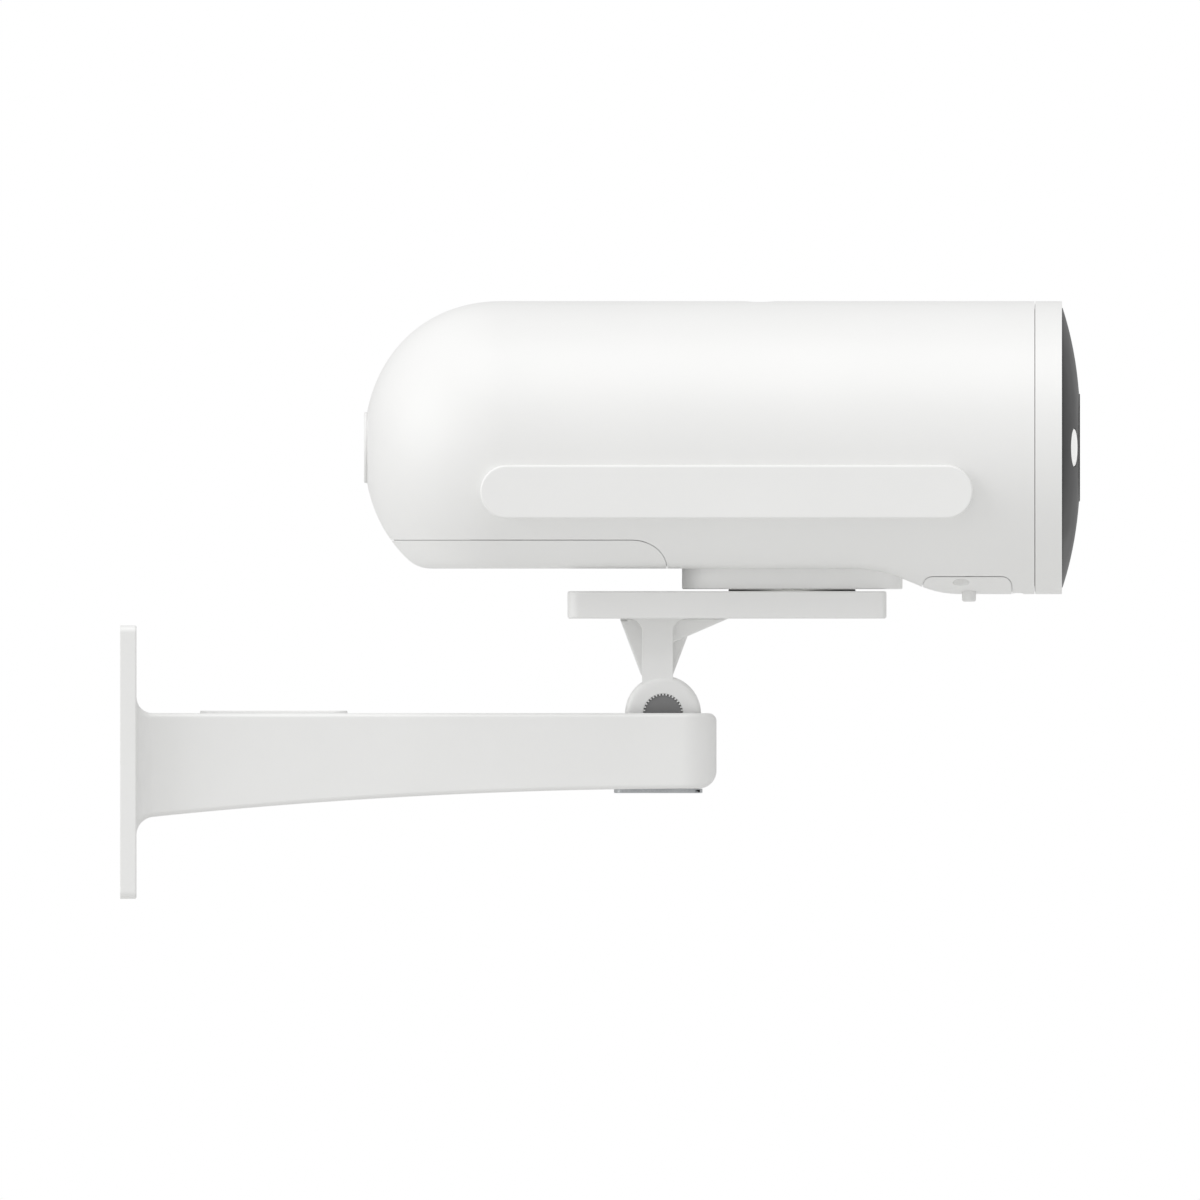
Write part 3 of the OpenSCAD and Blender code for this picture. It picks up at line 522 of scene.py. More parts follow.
def led():
    # Yellow phosphor over a blue die in a clear silicone cap
    material, tree, shader = start("led", IOR=1.41, Coat_Weight=0.5, Coat_Roughness=0.08)
    surface(tree, shader, "#f6efc8", "#efe2a4", 1.2, 0.15, 0.35, 0.05, 0.004)
    return material


def reflector():
    # Vacuum-metallised cup, faint orange peel of about 0.5 mm
    material, tree, shader = start("reflector", Metallic=1.0)
    surface(tree, shader, "#e9eaeb", "#dfe1e3", 6, 0.5, 0.1, 0.03, 0.003)
    return material


def black_glass():
    # Smoked polycarbonate with a hard coat, polished, slight moulding waves of about 14 mm
    material, tree, shader = start("black_glass", IOR=1.586, Specular_IOR_Level=0.11)
    surface(tree, shader, "#1c1c1d", "#202021", 18, 14, 0.3, 0.02, 0.01, 1.0)
    return material


def white_nylon():
    # Natural nylon 66, slightly warm and translucent
    material, tree, shader = start("white_nylon", IOR=1.53, Subsurface_Weight=0.15, Subsurface_Scale=0.002)
    surface(tree, shader, "#eeeeea", "#e7e7e2", 8, 0.4, 0.46, 0.05, 0.006)
    return material


MAKERS = (white_plastic, white_paint, black_plastic, grey_metal, steel, aluminium, rubber, white_rubber,
          circuit_board, copper, battery_wrap, diffuser, lens_glass, led, reflector, black_glass, white_nylon)
FINISH = {maker.__name__: maker() for maker in MAKERS}
SLOT = {part["node"]: part["material_slot"] for part in frame["record"]["subparts"]}
BODY = {node: made["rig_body"] for node, made in frame["nodes"].items()}


def present(made, *nodes):
    """Shows a finished piece in place of CAD nodes, with the finish of the first one's slot and that node's
    body.
    """
    return show(made, FINISH[SLOT[nodes[0]]], BODY[nodes[0]], SLOT[nodes[0]], *nodes)


# ---- housing -----------------------------------------------------------------------------------------

def under_height(x):
    """Height of the underside at a place along the housing: flat, a bend, then a straight slope."""
    end = ramp_x + ramp_r * math.sin(ramp_angle)
    if x <= ramp_x:
        return under_z
    if x <= end:
        return under_z - ramp_r + math.sqrt(ramp_r ** 2 - (x - ramp_x) ** 2)
    return under_z - ramp_r * (1 - math.cos(ramp_angle)) - (x - end) * math.tan(ramp_angle)


def soft_min(a, b, soft):
    h = max(soft - abs(a - b), 0) / soft
    return min(a, b) - h * h * soft / 4


def form_loop(x, radius, floor, steps):
    """One cross-section of the housing: round, with its bottom cut at the floor by a soft edge."""
    loop = []
    for k in range(steps):
        t = 2 * math.pi * (k + 0.5) / steps
        r = radius
        down = -math.sin(t)
        if down > 0.05:
            r = soft_min(radius, (axis_z - floor) / down, under_blend * min(1, radius / 20))
        loop.append((x, r * math.cos(t), axis_z + r * math.sin(t)))
    return loop


def form_loops(inset, x_end, dome_steps, steps):
    """Cross-sections of the housing's form from the dome's tip to x_end, all moved in by inset."""
    loops = []
    for i in range(dome_steps + 1):
        a = math.pi / 2 * max(i, 0.02) / dome_steps
        x = dome_x - (dome_len - inset) * math.cos(a) ** (2 / dome_power)
        r = (body_r - inset) * math.sin(a) ** (2 / dome_power)
        loops.append(form_loop(x, r, under_z + inset, steps))
    stops = [dome_x + (ramp_x - dome_x) * i / 16 for i in range(1, 17)]
    stops += [ramp_x + (x_end - ramp_x) * i / 24 for i in range(1, 25)]
    return loops + [form_loop(x, body_r - inset, under_height(x) + inset, steps) for x in stops]


def outer_solid(name, inset=0.0):
    return stack(name, form_loops(inset, seam_x, 40, 256))


def shell(name, outer_inset, inner_inset):
    """A wall between two depths under the housing's surface as one closed form, open at the front."""
    outside = form_loops(outer_inset, seam_x, 40, 256)
    inside = form_loops(inner_inset, seam_x, 40, 256)
    return stack(name, outside + inside[::-1])


def bead(form, outline):
    """The set-back edge of a loose cover that closes most of the gap round it."""
    return combine(form, prism("tool", outline(seam_gap - 0.03), -body_r - 2, body_r + 2), "INTERSECT")


def hatch_outline(grow):
    drop = hatch_seam_z - under_z
    corner = []
    for i in range(13):
        a = math.pi / 2 * i / 12
        corner.append((hatch_front - hatch_corner + (hatch_corner + grow) * math.sin(a),
                       under_z + (drop + grow) * math.cos(a)))
    foot = axis_z - body_r - 6
    return [(rear_x - 20, foot), (rear_x - 20, hatch_seam_z + grow)] + corner + [(hatch_front + grow, foot)]


def door_outline(grow):
    foot = axis_z - body_r - 6
    low, high, r = door_low.x - seam_gap - grow, door_high.x + seam_gap + grow, 4 + grow
    top = door_high.z + seam_gap + grow
    return ([(low, foot), (high, foot)] + arc(high - r, top - r, r, 0, 90, 8)
            + arc(low + r, top - r, r, 90, 180, 8))


def rods_round(name, radius, low, high, ring, count, turn):
    """Rods along X set round the housing's axis."""
    made = []
    for i in range(count):
        a = math.radians(turn + 360 * i / count)
        made.append(rod(name, (ring * math.cos(a), axis_z + ring * math.sin(a)), radius, low, high, "X", 24))
    return made


def build_housing(whole):
    made = copy_of(whole, "housing_shell")
    cut(made, prism("tool", hatch_outline(seam_gap), -body_r - 2, body_r + 2))
    cut(made, prism("tool", door_outline(seam_gap), -body_r - 2, body_r + 2))
    cut(made, rod("tool", AXIS, cap_r + 0.3, rear_x - 2, rear_x + 2.8, "X", 96))
    cut(made, rod("tool", AXIS, inlet_hole_r, rear_x - 2, rear_x + 12, "X", 64))
    vent = ((plug_low.x + plug_high.x) / 2, 0)
    cut(made, rod("tool", vent, vent_r + 0.05, axis_z + body_r - wall - 4, axis_z + body_r + 2, "Z", 64))
    low = axis_z - body_r
    mic_x = sum(v.x for v in box_mm("microphone")) / 2
    x0, x1 = mic_x - mic_slot_x, mic_x + mic_slot_x
    cut(made, slab("tool", lambda inset: plan(x0, x1, mic_slot_y, 1.9, 1.9, inset), low - 1, low + 1,
                   0.01, 0.01))
    cut(made, rod("tool", (mic_x, 0), 0.8, low - 1, low + wall + 2, "Z", 24))
    return present(shade(made, 28), "housing")


def build_hatch(whole):
    made = copy_of(whole, "rear_hatch_shell")
    combine(made, prism("tool", hatch_outline(-seam_gap), -body_r - 2, body_r + 2), "INTERSECT")
    join(made, bead(shell("tool", 0.9, 2.6), hatch_outline))
    cut(made, rod("tool", AXIS, cap_r + 6, rear_x - 2, rear_x + 30, "X", 96))
    return present(shade(made, 28), "rear_hatch")


def build_door(outer):
    made = copy_of(outer, "access_door_shell")
    combine(made, prism("tool", door_outline(-seam_gap), -body_r - 2, body_r + 2), "INTERSECT")
    join(made, bead(outer_solid("tool", 0.9), door_outline))
    low = axis_z - body_r
    top = door_high.z
    cut(made, block("tool", (door_low.x + 5.4, -15, low + 3), (door_high.x - 5.4, 15, top + 1)))
    for side in (-1, 1):
        finger = (door_low.x + 15.25, side * (door_high.y - 4.7))
        cut(made, rod("tool", finger, finger_r, low - 1, top - 0.6, "Z", 48))
    button_low, button_high = box_mm("reset_button")
    button = (button_low + button_high) / 2
    cut(made, rod("tool", (button.x, button.y), button_r + 0.1, low - 3, top + 1, "Z", 48))
    return present(shade(made, 28), "access_door")


def build_button():
    low, high = box_mm("reset_button")
    at = ((low.x + high.x) / 2, (low.y + high.y) / 2)
    z, seat = low.z, axis_z - body_r + 3
    rim = 0.9
    profile = [(0, z + 0.25), (1.2, z + 0.12), (button_r - rim, z)]
    profile += [(button_r - rim + rim * math.sin(QUARTER * i / 5), z + rim * (1 - math.cos(QUARTER * i / 5)))
                for i in range(1, 6)]
    profile += [(button_r, seat + 0.05), (button_flange_r, seat + 0.05), (button_flange_r, seat + 1.2),
                (1.4, seat + 1.2), (1.4, high.z), (0, high.z)]
    return present(shade(lathe("reset_button_cap", profile, at, "Z", 64)), "reset_button")


def round_profile(points, radius, steps=4):
    """Rounds every corner of a (radius, place) profile, leaving its two ends alone."""
    made = [points[0]]
    for before, here, after in zip(points, points[1:], points[2:]):
        a, b, c = Vector(before), Vector(here), Vector(after)
        give = min(radius, (a - b).length * 0.45, (c - b).length * 0.45)
        p, q = b + (a - b).normalized() * give, b + (c - b).normalized() * give
        for i in range(steps + 1):
            t = i / steps
            made.append(tuple(p * (1 - t) ** 2 + b * 2 * t * (1 - t) + q * t * t))
    return made + [points[-1]]


def build_rear_cap():
    profile = [(0, cap_low.x), (cap_r, cap_low.x), (cap_r, cap_low.x + 2.5), (2.5, cap_low.x + 2.5),
               (2.5, cap_high.x), (0, cap_high.x)]
    made = lathe("rear_cap_disc", round_profile(profile, 0.7), AXIS, "X", 128)
    cut(made, rod("tool", AXIS, 1.3, cap_low.x + 5, cap_high.x + 1, "X", 32))
    return present(shade(made, 35), "rear_cap")


def build_vent_plug():
    at = ((plug_low.x + plug_high.x) / 2, (plug_low.y + plug_high.y) / 2)
    r, step = plug_high.x - at[0], plug_low.z + 2
    profile = [(0, plug_low.z), (r, plug_low.z), (r, step), (vent_r, step), (vent_r, plug_high.z),
               (4.6, plug_high.z), (4.4, plug_high.z - 0.25), (0, plug_high.z - 0.25)]
    made = lathe("vent_plug_cap", round_profile(profile, 0.35), at, "Z", 96)
    return present(shade(made, 35), "vent_plug")


def build_side_cover(side, outer):
    """A raised stadium on the side of the housing, hollow over its antenna."""
    node = "antenna_cover_left" if side > 0 else "antenna_cover_right"
    low, high = box_mm(node)
    mid, half = (low.z + high.z) / 2, (high.z - low.z) / 2
    face = high.y if side > 0 else low.y

    def outline(inset):
        r = half - inset
        return (arc(low.x + half, mid, r, 90, 270, 24) + arc(high.x - half, mid, r, -90, 90, 24))

    if side > 0:
        made = slab(node + "_shell", outline, 44, face, 0.01, 0.9, "Y", 6)
        hollow = slab("tool", lambda inset: outline(inset + 2), 40, face - 1.8, 0.01, 0.3, "Y", 2)
    else:
        made = slab(node + "_shell", outline, face, -44, 0.9, 0.01, "Y", 6)
        hollow = slab("tool", lambda inset: outline(inset + 2), face + 1.8, -40, 0.3, 0.01, "Y", 2)
    cut(made, hollow, copy_of(outer, "tool"))
    return present(shade(made, 30), node)


# ---- front -------------------------------------------------------------------------------------------

def build_bezel():
    x0, x1 = seam_x + 0.3, bezel_high.x
    inner = body_r - wall - 0.2
    bore, spigot, seat = 46.6, 52.4, 56.3
    profile = [(bore, x0 + 1), (bore, x0), (spigot, x0), (spigot, x0 - 4), (inner, x0 - 4), (inner, x0 - 0.2),
               (body_r - 1.1, x0 - 0.2), (body_r - 1.1, x0), (body_r, x0), (body_r, x1), (seat, x1),
               (seat, x0 + 3.6), (bore, x0 + 3.6), (bore, x0 + 1)]
    made = lathe("front_bezel_ring", round_profile(profile, 0.2)[:-1], AXIS, "X", 256)
    ring = screw_centres("bezel_screws")[1].y * math.sqrt(2)
    cut(made, *rods_round("tool", 1.6, x0 - 6, x0 + 8, ring, 4, 45))
    cut(made, *rods_round("tool", 3.0, x0 + 1.6, x0 + 8, ring, 4, 45))
    return present(shade(made, 35), "front_bezel")


def glass_x(r):
    """X of the glass's front at a distance from the lens axis."""
    return ring_high.x + 0.3 - glass_drop * (r / glass_r) ** glass_power


def build_glass():
    r, apex, back = glass_r, ring_high.x + 0.3, seam_x + 4
    front = [(r, glass_x(r) - 0.4), (r - 0.15, glass_x(r) - 0.1)]
    front += [(a, glass_x(a)) for a in ((r - 0.45) * (1 - i / 40) for i in range(41))]
    inner_r, ring_hole_r, thick = 52.2, 21.7, 3
    inner = [(inner_r * i / 20, glass_x(inner_r * i / 20) - thick) for i in range(21)]
    made = lathe("front_glass_dome", inner + [(inner_r, back), (r, back)] + front, AXIS, "X", 256)
    cut(made, rod("tool", AXIS, ring_hole_r, seam_x, apex + 2, "X", 128))
    for side in (-1, 1):
        cut(made, rod("tool", (side * window_offset, axis_z), window_r + 0.2, seam_x, apex + 2, "X", 96))
    return present(shade(made, 30), "front_glass")


def build_lens_ring():
    x1, r = ring_high.x, (ring_high.z - ring_low.z) / 2
    bore, face_r, lip_r = 18.2, 19, 15.6
    profile = [(bore, x1 - 5), (bore, x1 - 6), (r, x1 - 6), (r, x1), (face_r, x1), (lip_r, x1 - 3.4),
               (lip_r, x1 - 4.4), (bore, x1 - 4.4), (bore, x1 - 5)]
    made = lathe("lens_ring_trim", round_profile(profile, 0.45)[:-1], AXIS, "X", 192)
    return present(shade(made, 30), "lens_ring")


def build_window(side):
    """An opal disc in the glass, dished a little and tilted to follow the dome."""
    node = "light_window_left" if side > 0 else "light_window_right"
    x0 = box_mm(node)[0].x
    slope = glass_drop * glass_power / glass_r * (window_offset / glass_r) ** (glass_power - 1)
    front = glass_x(window_offset) - 0.1
    profile = [(0, x0 - front), (window_r, x0 - front), (window_r, -0.35), (window_r - 0.4, -0.02),
               (5.6, -0.06), (5.4, -0.3), (5.1, -0.3), (4.9, -0.1), (0, -0.06)]
    made = lathe(node + "_disc", round_profile(profile, 0.12, 2), (0, 0), "X", 96)
    for vert in made.data.vertices:
        co = vert.co
        if co.x > -1 * MM:
            co.x -= slope * side * co.y
        co.x += front * MM
        co.y += side * window_offset * MM
        co.z += axis_z * MM
    return present(shade(made, 30), node)


# ---- mount and bracket -------------------------------------------------------------------------------

def build_mount_block(outer):
    def outline(inset):
        return plan(block_low.x, block_high.x, block_high.y, 16, 6, inset, 14)

    made = slab("mount_block_cast", outline, block_low.z, block_low.z + 13, 0.6, 0.01, "Z", 6)
    cut(made, copy_of(outer, "tool"))
    cut(made, rod("tool", (pan_x, 0), pan_hole_r, block_low.z - 1, under_z + 1, "Z", 48))
    near, far = screw_centres("mount_screws")
    for x in (near.x, far.x):
        for y in (near.y, far.y):
            cut(made, rod("tool", (x, y), 3.8, block_low.z - 1, block_low.z + 3, "Z", 48))
    return present(shade(made, 30), "mount_block")


def post_outline():
    """The post under the plate with its two fillets, in X and Z."""
    x0, x1, f, top = tilt_x - 8.4, tilt_x + 4, 5.2, plate_z0 + 0.4
    left = arc(x0 - f, plate_z0 - f, f, 0, 90, 10)
    right = arc(x1 + f, plate_z0 - f, f, 90, 180, 10)
    return [(x1, tilt_z), (x0, tilt_z)] + left + [(x0 - f, top), (x1 + f, top)] + right


def rounded_prism(name, outline, low, high, width):
    return round_edges(prism(name, outline, low, high), width, 3, 50)


def pocket(x, side):
    """A weight-saving pocket in the plate's underside, beside its middle rib."""
    half = (bracket_high.y - 6) / 2

    def outline(inset):
        return [(a, b + side * (half + 3)) for a, b in plan(x, x + 21, half, 2, 2, inset)]

    return slab("tool", outline, plate_z0 - 1, plate_z0 + 7.5, 0.01, 0.8)


def build_bracket():
    half = ear_half
    web_x = tilt_x - 2.4
    plate = slab("bracket_casting",
                 lambda inset: plan(bracket_low.x, bracket_high.x, bracket_high.y, 4.8, 2, inset, 10),
                 plate_z0, bracket_high.z, 0.9, 0.9, "Z", 5)
    pockets = [pocket(x, side) for x in (bracket_low.x + 3, bracket_high.x - 24) for side in (-1, 1)]
    ear = rod_with_rims("ears", ear_r, -half, half, 3.2)
    web = rounded_prism("web", [(web_x - 15, plate_z0 + 0.3), (web_x + 15, plate_z0 + 0.3),
                                (web_x + 6.2, tilt_z + 15), (web_x - 6.2, tilt_z + 15)], -5, 5, 1.0)
    rib = rounded_prism("rib", [(tilt_x + 26.8, plate_z0 + 0.3), (tilt_x + 3, plate_z0 + 0.3),
                                (tilt_x + 3, tilt_z + 28)], -12, 12, 1.0)
    post = rounded_prism("post", post_outline(), 0.7 - half, half - 0.7, 0.7)
    made = join(plate, post, ear, web, rib)
    gap = 8.0
    cut(made, rod("tool", (tilt_x, tilt_z), ear_r - 1, -gap, gap, "Y", 96))
    cut(made, block("tool", (tilt_x - 20, -gap, tilt_z - 20), (tilt_x + 20, gap, tilt_z + 9)))
    cut(made, rod("tool", (tilt_x, tilt_z), 5.05, -half - 1, half + 1, "Y", 64))
    cut(made, rod("tool", (tilt_x, tilt_z), tooth_root, -half - 1, -half + 3, "Y", 144))
    cut(made, rod("tool", (tilt_x, tilt_z), tooth_root, half - 3, half + 1, "Y", 144))
    cut(made, rod("tool", (pan_x, 0), pan_hole_r, plate_z0 - 1, bracket_high.z + 1, "Z", 48))
    cut(made, rod("tool", (pan_x, 0), 8, plate_z0 - 1, plate_z0 + 6.5, "Z", 64), *pockets)
    return present(shade(made, 30), "bracket")


def rod_with_rims(name, r, low, high, rim):
    profile = round_profile([(0, low), (r, low), (r, high), (0, high)], rim)
    return lathe(name, profile, (tilt_x, tilt_z), "Y", 128)


def build_pin(node):
    low, high = box_mm(node)
    if node == "tilt_pin":
        profile = [(0, low.y + 0.1), (hub_r - 0.7, low.y + 0.1), (hub_r - 0.5, low.y), (hub_r, low.y),
                   (hub_r, low.y + 0.9), (hub_r + 0.6, low.y + 0.9), (hub_r + 0.6, low.y + 2.5),
                   (5, low.y + 2.5), (5, high.y), (0, high.y)]
    else:
        profile = [(0, low.y), (hub_r + 0.6, low.y), (hub_r + 0.6, high.y - 0.9), (hub_r, high.y - 0.9),
                   (hub_r, high.y), (hub_r - 0.5, high.y), (hub_r - 0.7, high.y - 0.1), (0, high.y - 0.1)]
    made = lathe(node + "_head", round_profile(profile, 0.15, 3), (tilt_x, tilt_z), "Y", 144)
    if node == "tilt_pin_cap":
        cut(made, lathe("tool", [(0, high.y - 2), (3, high.y - 2), (3, high.y + 1), (0, high.y + 1)],
                        (tilt_x, tilt_z), "Y", 6))
    return present(shade(made, 35), node)


# ---- arm and wall plate ------------------------------------------------------------------------------

def corner_drop(x, end, r):
    """How far a round corner of radius r, ending at x = end, has left its flat side at x."""
    d = x - (end - r)
    return r - math.sqrt(max(r * r - d * d, 0)) if d > 0 else 0.0


def arm_loop(x, width, low, high, rim):
    """Cross-section of the arm in Y and Z with rounded corners."""
    r = max(min(rim, width * 0.9, (high - low) * 0.45), 0.02)
    points = (arc(width - r, high - r, r, 0, 90, 6) + arc(-width + r, high - r, r, 90, 180, 6)
              + arc(-width + r, low + r, r, 180, 270, 6) + arc(width - r, low + r, r, 270, 360, 6))
    return [(x, y, z) for y, z in points]


def arm_under(x):
    return arm_bottom - arm_drop * ((arch_end - min(x, arch_end)) / arch_span) ** 2


def arm_screw_places():
    near, far = screw_centres("arm_screws")
    return [(y, z) for y in (near.y, far.y) for z in (near.z, far.z)]


def build_arm():
    x0, x1, half = arm_low.x, arm_high.x, arm_high.y
    stops = [x0 + root_r * (1 - math.cos(math.pi / 2 * i / 8)) for i in range(9)]
    stops += [x0 + root_r + (x1 - arm_corner - x0 - root_r) * i / 30 for i in range(1, 31)]
    stops += [x1 - arm_corner * (1 - math.sin(math.pi / 2 * i / 24)) for i in range(1, 25)]
    loops = []
    for x in stops:
        flare = corner_drop(-x, -x0, root_r)
        width = half - corner_drop(x, x1, arm_corner)
        high = arm_top - corner_drop(x, x1, 3.2)
        low = arm_under(x) + corner_drop(x, x1, 7.2)
        loops.append(arm_loop(x, width + flare, low - flare, high + flare, 1.9 + flare * 0.5))
    made = stack("arm_casting", loops)
    floor_z, slot_x0, slot_x1 = arm_bottom + arm_t, tilt_x - 18.2, x1 - arm_t
    inner = [arm_loop(x, half - arm_t, arm_under(x) + arm_t, arm_top - arm_t, 1.5)
             for x in [x0 - 1 + (slot_x0 - arm_t - x0 + 1) * i / 12 for i in range(13)]]
    cut(made, stack("tool", inner))
    cut(made, block("tool", (slot_x0 - arm_t - 1, -9, floor_z + 4), (slot_x0 + 1, 9, arm_top - arm_t)))
    cut(made, slab("tool", lambda inset: plan(slot_x0, slot_x1, half - arm_t, 3, arm_corner - arm_t, inset),
                   floor_z, arm_top + 1, 0.8, 0.01))
    seat_low, seat_high = box_mm("lock_plate")
    cut(made, slab("tool", lambda inset: plan(seat_low.x - 0.2, seat_high.x + 0.2, 17.2, 4.2, 12.2, inset),
                   arm_bottom - 3, arm_bottom, 0.01, 0.01))
    cut(made, rod("tool", (tilt_x, 0), 3.3, arm_bottom - 3, floor_z + 1, "Z", 32))
    for side in (-1, 1):
        cut(made, rod("tool", (tilt_x + side * 8, 0), 4, arm_bottom - 3, arm_bottom + 1.7, "Z", 32))
    cut(made, *[rod("tool", at, arm_screw_r, x0 - 1, x0 + 13.9, "X", 32) for at in arm_screw_places()])
    cut(made, block("tool", (lid_low.x + 8, -9, arm_top - arm_t - 1), (lid_high.x - 8, 9, arm_top + 1)))
    return present(shade(made, 30), "arm")


def build_wall_plate():
    thick = wall_high.x

    def outline(inset):
        return [(b, a) for a, b in plan(wall_low.z, wall_high.z, wall_high.y, 3, 3, inset, 12)]

    made = slab("wall_plate_casting", outline, 0, thick, 0.3, 0.8, "X", 6)
    cut(made, rod("tool", (0, 0), 11, -1, thick + 1, "X", 64))
    r = wall_screws["hole_r_mm"]
    wall_hole = [(0, -1), (r, -1), (r, thick - 3), (r + 3, thick), (r + 4, thick + 1), (0, thick + 1)]
    arm_hole = [(0, -1), (5.15, -1), (4.15, 0), (arm_screw_r, 2.1), (arm_screw_r, thick + 1), (0, thick + 1)]
    across, up = wall_screws["spacing_x_mm"] / 2, wall_screws["spacing_y_mm"] / 2
    for at in ((-across, -up), (-across, up), (across, -up), (across, up)):
        cut(made, lathe("tool", wall_hole, at, "X", 48))
    cut(made, *[lathe("tool", arm_hole, at, "X", 48) for at in arm_screw_places()])
    return present(shade(made, 30), "wall_plate")


def build_cable_cover():
    top = lid_high.z
    made = slab("cable_cover_lid", lambda inset: plan(lid_low.x, lid_high.x, lid_high.y, 6, 6, inset, 12),
                top - 1, top, 0.01, 0.4)
    join(made, slab("tool", lambda inset: plan(lid_low.x + 9, lid_high.x - 9, 8, 1, 1, inset), lid_low.z,
                    top - 0.5, 0.3, 0.01))
    for at in screw_centres("cable_cover_screws"):
        cut(made, rod("tool", (at.x, 0), 2.5, top - 0.5, top + 1, "Z", 32))
    return present(shade(made, 35), "cable_cover")


def build_lock_plate():
    low, high = box_mm("lock_plate")
    made = slab("lock_plate_pressing", lambda inset: plan(low.x, high.x, high.y, 4, 12, inset, 12),
                low.z, high.z, 0.4, 0.2)
    cut(made, rod("tool", (tilt_x, 0), 4.6, low.z - 1, high.z + 1, "Z", 48))
    near, far = screw_centres("lock_plate_screws")
    for x in (near.x, far.x):
        for y in (near.y, far.y):
            cut(made, rod("tool", (x, y), 2.95, low.z - 1, low.z + 1.3, "Z", 32))
    return present(shade(made, 35), "lock_plate")


# ---- repeated parts ----------------------------------------------------------------------------------

def repeat_tree(kind):
    """A node tree that sets copies of one object on a grid or round a circle and gives them a material."""
    tree = bpy.data.node_groups.new("repeat_" + kind, "GeometryNodeTree")
    face = tree.interface
    face.new_socket("Geometry", in_out="INPUT", socket_type="NodeSocketGeometry")
    face.new_socket("Unit", in_out="INPUT", socket_type="NodeSocketObject")
    face.new_socket("Material", in_out="INPUT", socket_type="NodeSocketMaterial")
    face.new_socket("Centre", in_out="INPUT", socket_type="NodeSocketVector")
    face.new_socket("Turn", in_out="INPUT", socket_type="NodeSocketRotation")
    face.new_socket("Span", in_out="INPUT", socket_type="NodeSocketVector")
    face.new_socket("Count X", in_out="INPUT", socket_type="NodeSocketInt")
    face.new_socket("Count Y", in_out="INPUT", socket_type="NodeSocketInt")
    face.new_socket("Geometry", in_out="OUTPUT", socket_type="NodeSocketGeometry")
    given = add(tree, "NodeGroupInput").outputs
    unit = add(tree, "GeometryNodeObjectInfo", {"Object": given["Unit"]}).outputs["Geometry"]
    span = add(tree, "ShaderNodeSeparateXYZ", {"Vector": given["Span"]}).outputs
    if kind == "grid":
        points = add(tree, "GeometryNodeMeshGrid",
                     {"Size X": span["X"], "Size Y": span["Y"],
                      "Vertices X": given["Count X"], "Vertices Y": given["Count Y"]})
        placed = add(tree, "GeometryNodeInstanceOnPoints", {"Points": points.outputs["Mesh"], "Instance": unit})
    else:
        points = add(tree, "GeometryNodeMeshCircle", {"Vertices": given["Count X"], "Radius": span["X"]})
        index = add(tree, "GeometryNodeInputIndex").outputs["Index"]
        share = add(tree, "ShaderNodeMath", {0: index, 1: given["Count X"]}, operation="DIVIDE").outputs[0]
        angle = add(tree, "ShaderNodeMath", {0: share, 1: 2 * math.pi}, operation="MULTIPLY").outputs[0]
        turn = add(tree, "ShaderNodeCombineXYZ", {"Z": angle}).outputs[0]
        placed = add(tree, "GeometryNodeInstanceOnPoints",
                     {"Points": points.outputs["Mesh"], "Instance": unit, "Rotation": turn})
    moved = add(tree, "GeometryNodeTransform", {"Geometry": placed.outputs["Instances"],
                                                "Translation": given["Centre"], "Rotation": given["Turn"]})
    real = add(tree, "GeometryNodeRealizeInstances", {"Geometry": moved.outputs["Geometry"]})
    done = add(tree, "GeometryNodeSetMaterial",
               {"Geometry": real.outputs["Geometry"], "Material": given["Material"]})
    add(tree, "NodeGroupOutput", {"Geometry": done.outputs["Geometry"]})
    return tree


TREES = {kind: repeat_tree(kind) for kind in ("grid", "ring")}


def repeat(name, kind, unit, material, centre, turn, span, count_x, count_y=1):
    """One mesh of repeated units: a grid spread over span, or a ring of radius span, turned and moved."""
    mesh = bpy.data.meshes.new(name)
    made = bpy.data.objects.new(name, mesh)
    bpy.context.scene.collection.objects.link(made)
    step = made.modifiers.new("repeat", "NODES")
    tree = TREES[kind]
    step.node_group = tree
    values = {"Unit": unit, "Material": material, "Centre": tuple(v * MM for v in centre), "Turn": turn,
              "Span": (span[0] * MM, span[1] * MM, 0.0), "Count X": count_x, "Count Y": count_y}
    for item in tree.interface.items_tree:
        if item.in_out == "INPUT" and item.name in values:
            step[item.identifier] = values[item.name]
    bake(made)
    discard(unit)
    return made


def screw_unit(radius, length, head_r, head_h, flat):
    """A screw along -Z with its head's top at zero: a socket cap, or a flat countersunk head."""
    if flat:
        profile = [(0, -length), (radius * 0.8, -length), (radius, -length + 0.4),
                   (radius, -head_r + radius - 0.2), (head_r, -0.25), (head_r, -0.05), (head_r - 0.15, 0),
                   (0, 0)]
    else:
        profile = [(0, -length - head_h), (radius * 0.8, -length - head_h), (radius, -length - head_h + 0.4),
                   (radius, -head_h), (head_r, -head_h), (head_r, -0.3), (head_r - 0.3, 0), (0, 0)]
    made = lathe("screw_unit", profile, (0, 0), "Z", 40)
    socket = head_r * 0.52
    deep = -head_h * 0.6
    cut(made, lathe("tool", [(0, deep), (socket, deep), (socket, 1), (0, 1)], (0, 0), "Z", 6))
    return shade(made, 35)


def group_place(node, r, facing):
    """Centre, turn and spread of a grid of things of radius r, filling the node's box, tops facing one way."""
    low, high = box_mm(node)
    near, far = centres(node, r)
    size, centre = far - near, (low + high) / 2
    sign = 1 if facing[0] == "+" else -1
    top = high if sign > 0 else low
    if facing[1] == "X":
        return (top.x, centre.y, centre.z), (0, sign * QUARTER, 0), (size.z, size.y)
    return (centre.x, centre.y, top.z), (QUARTER * (1 - sign), 0, 0), (size.x, max(size.y, 0))


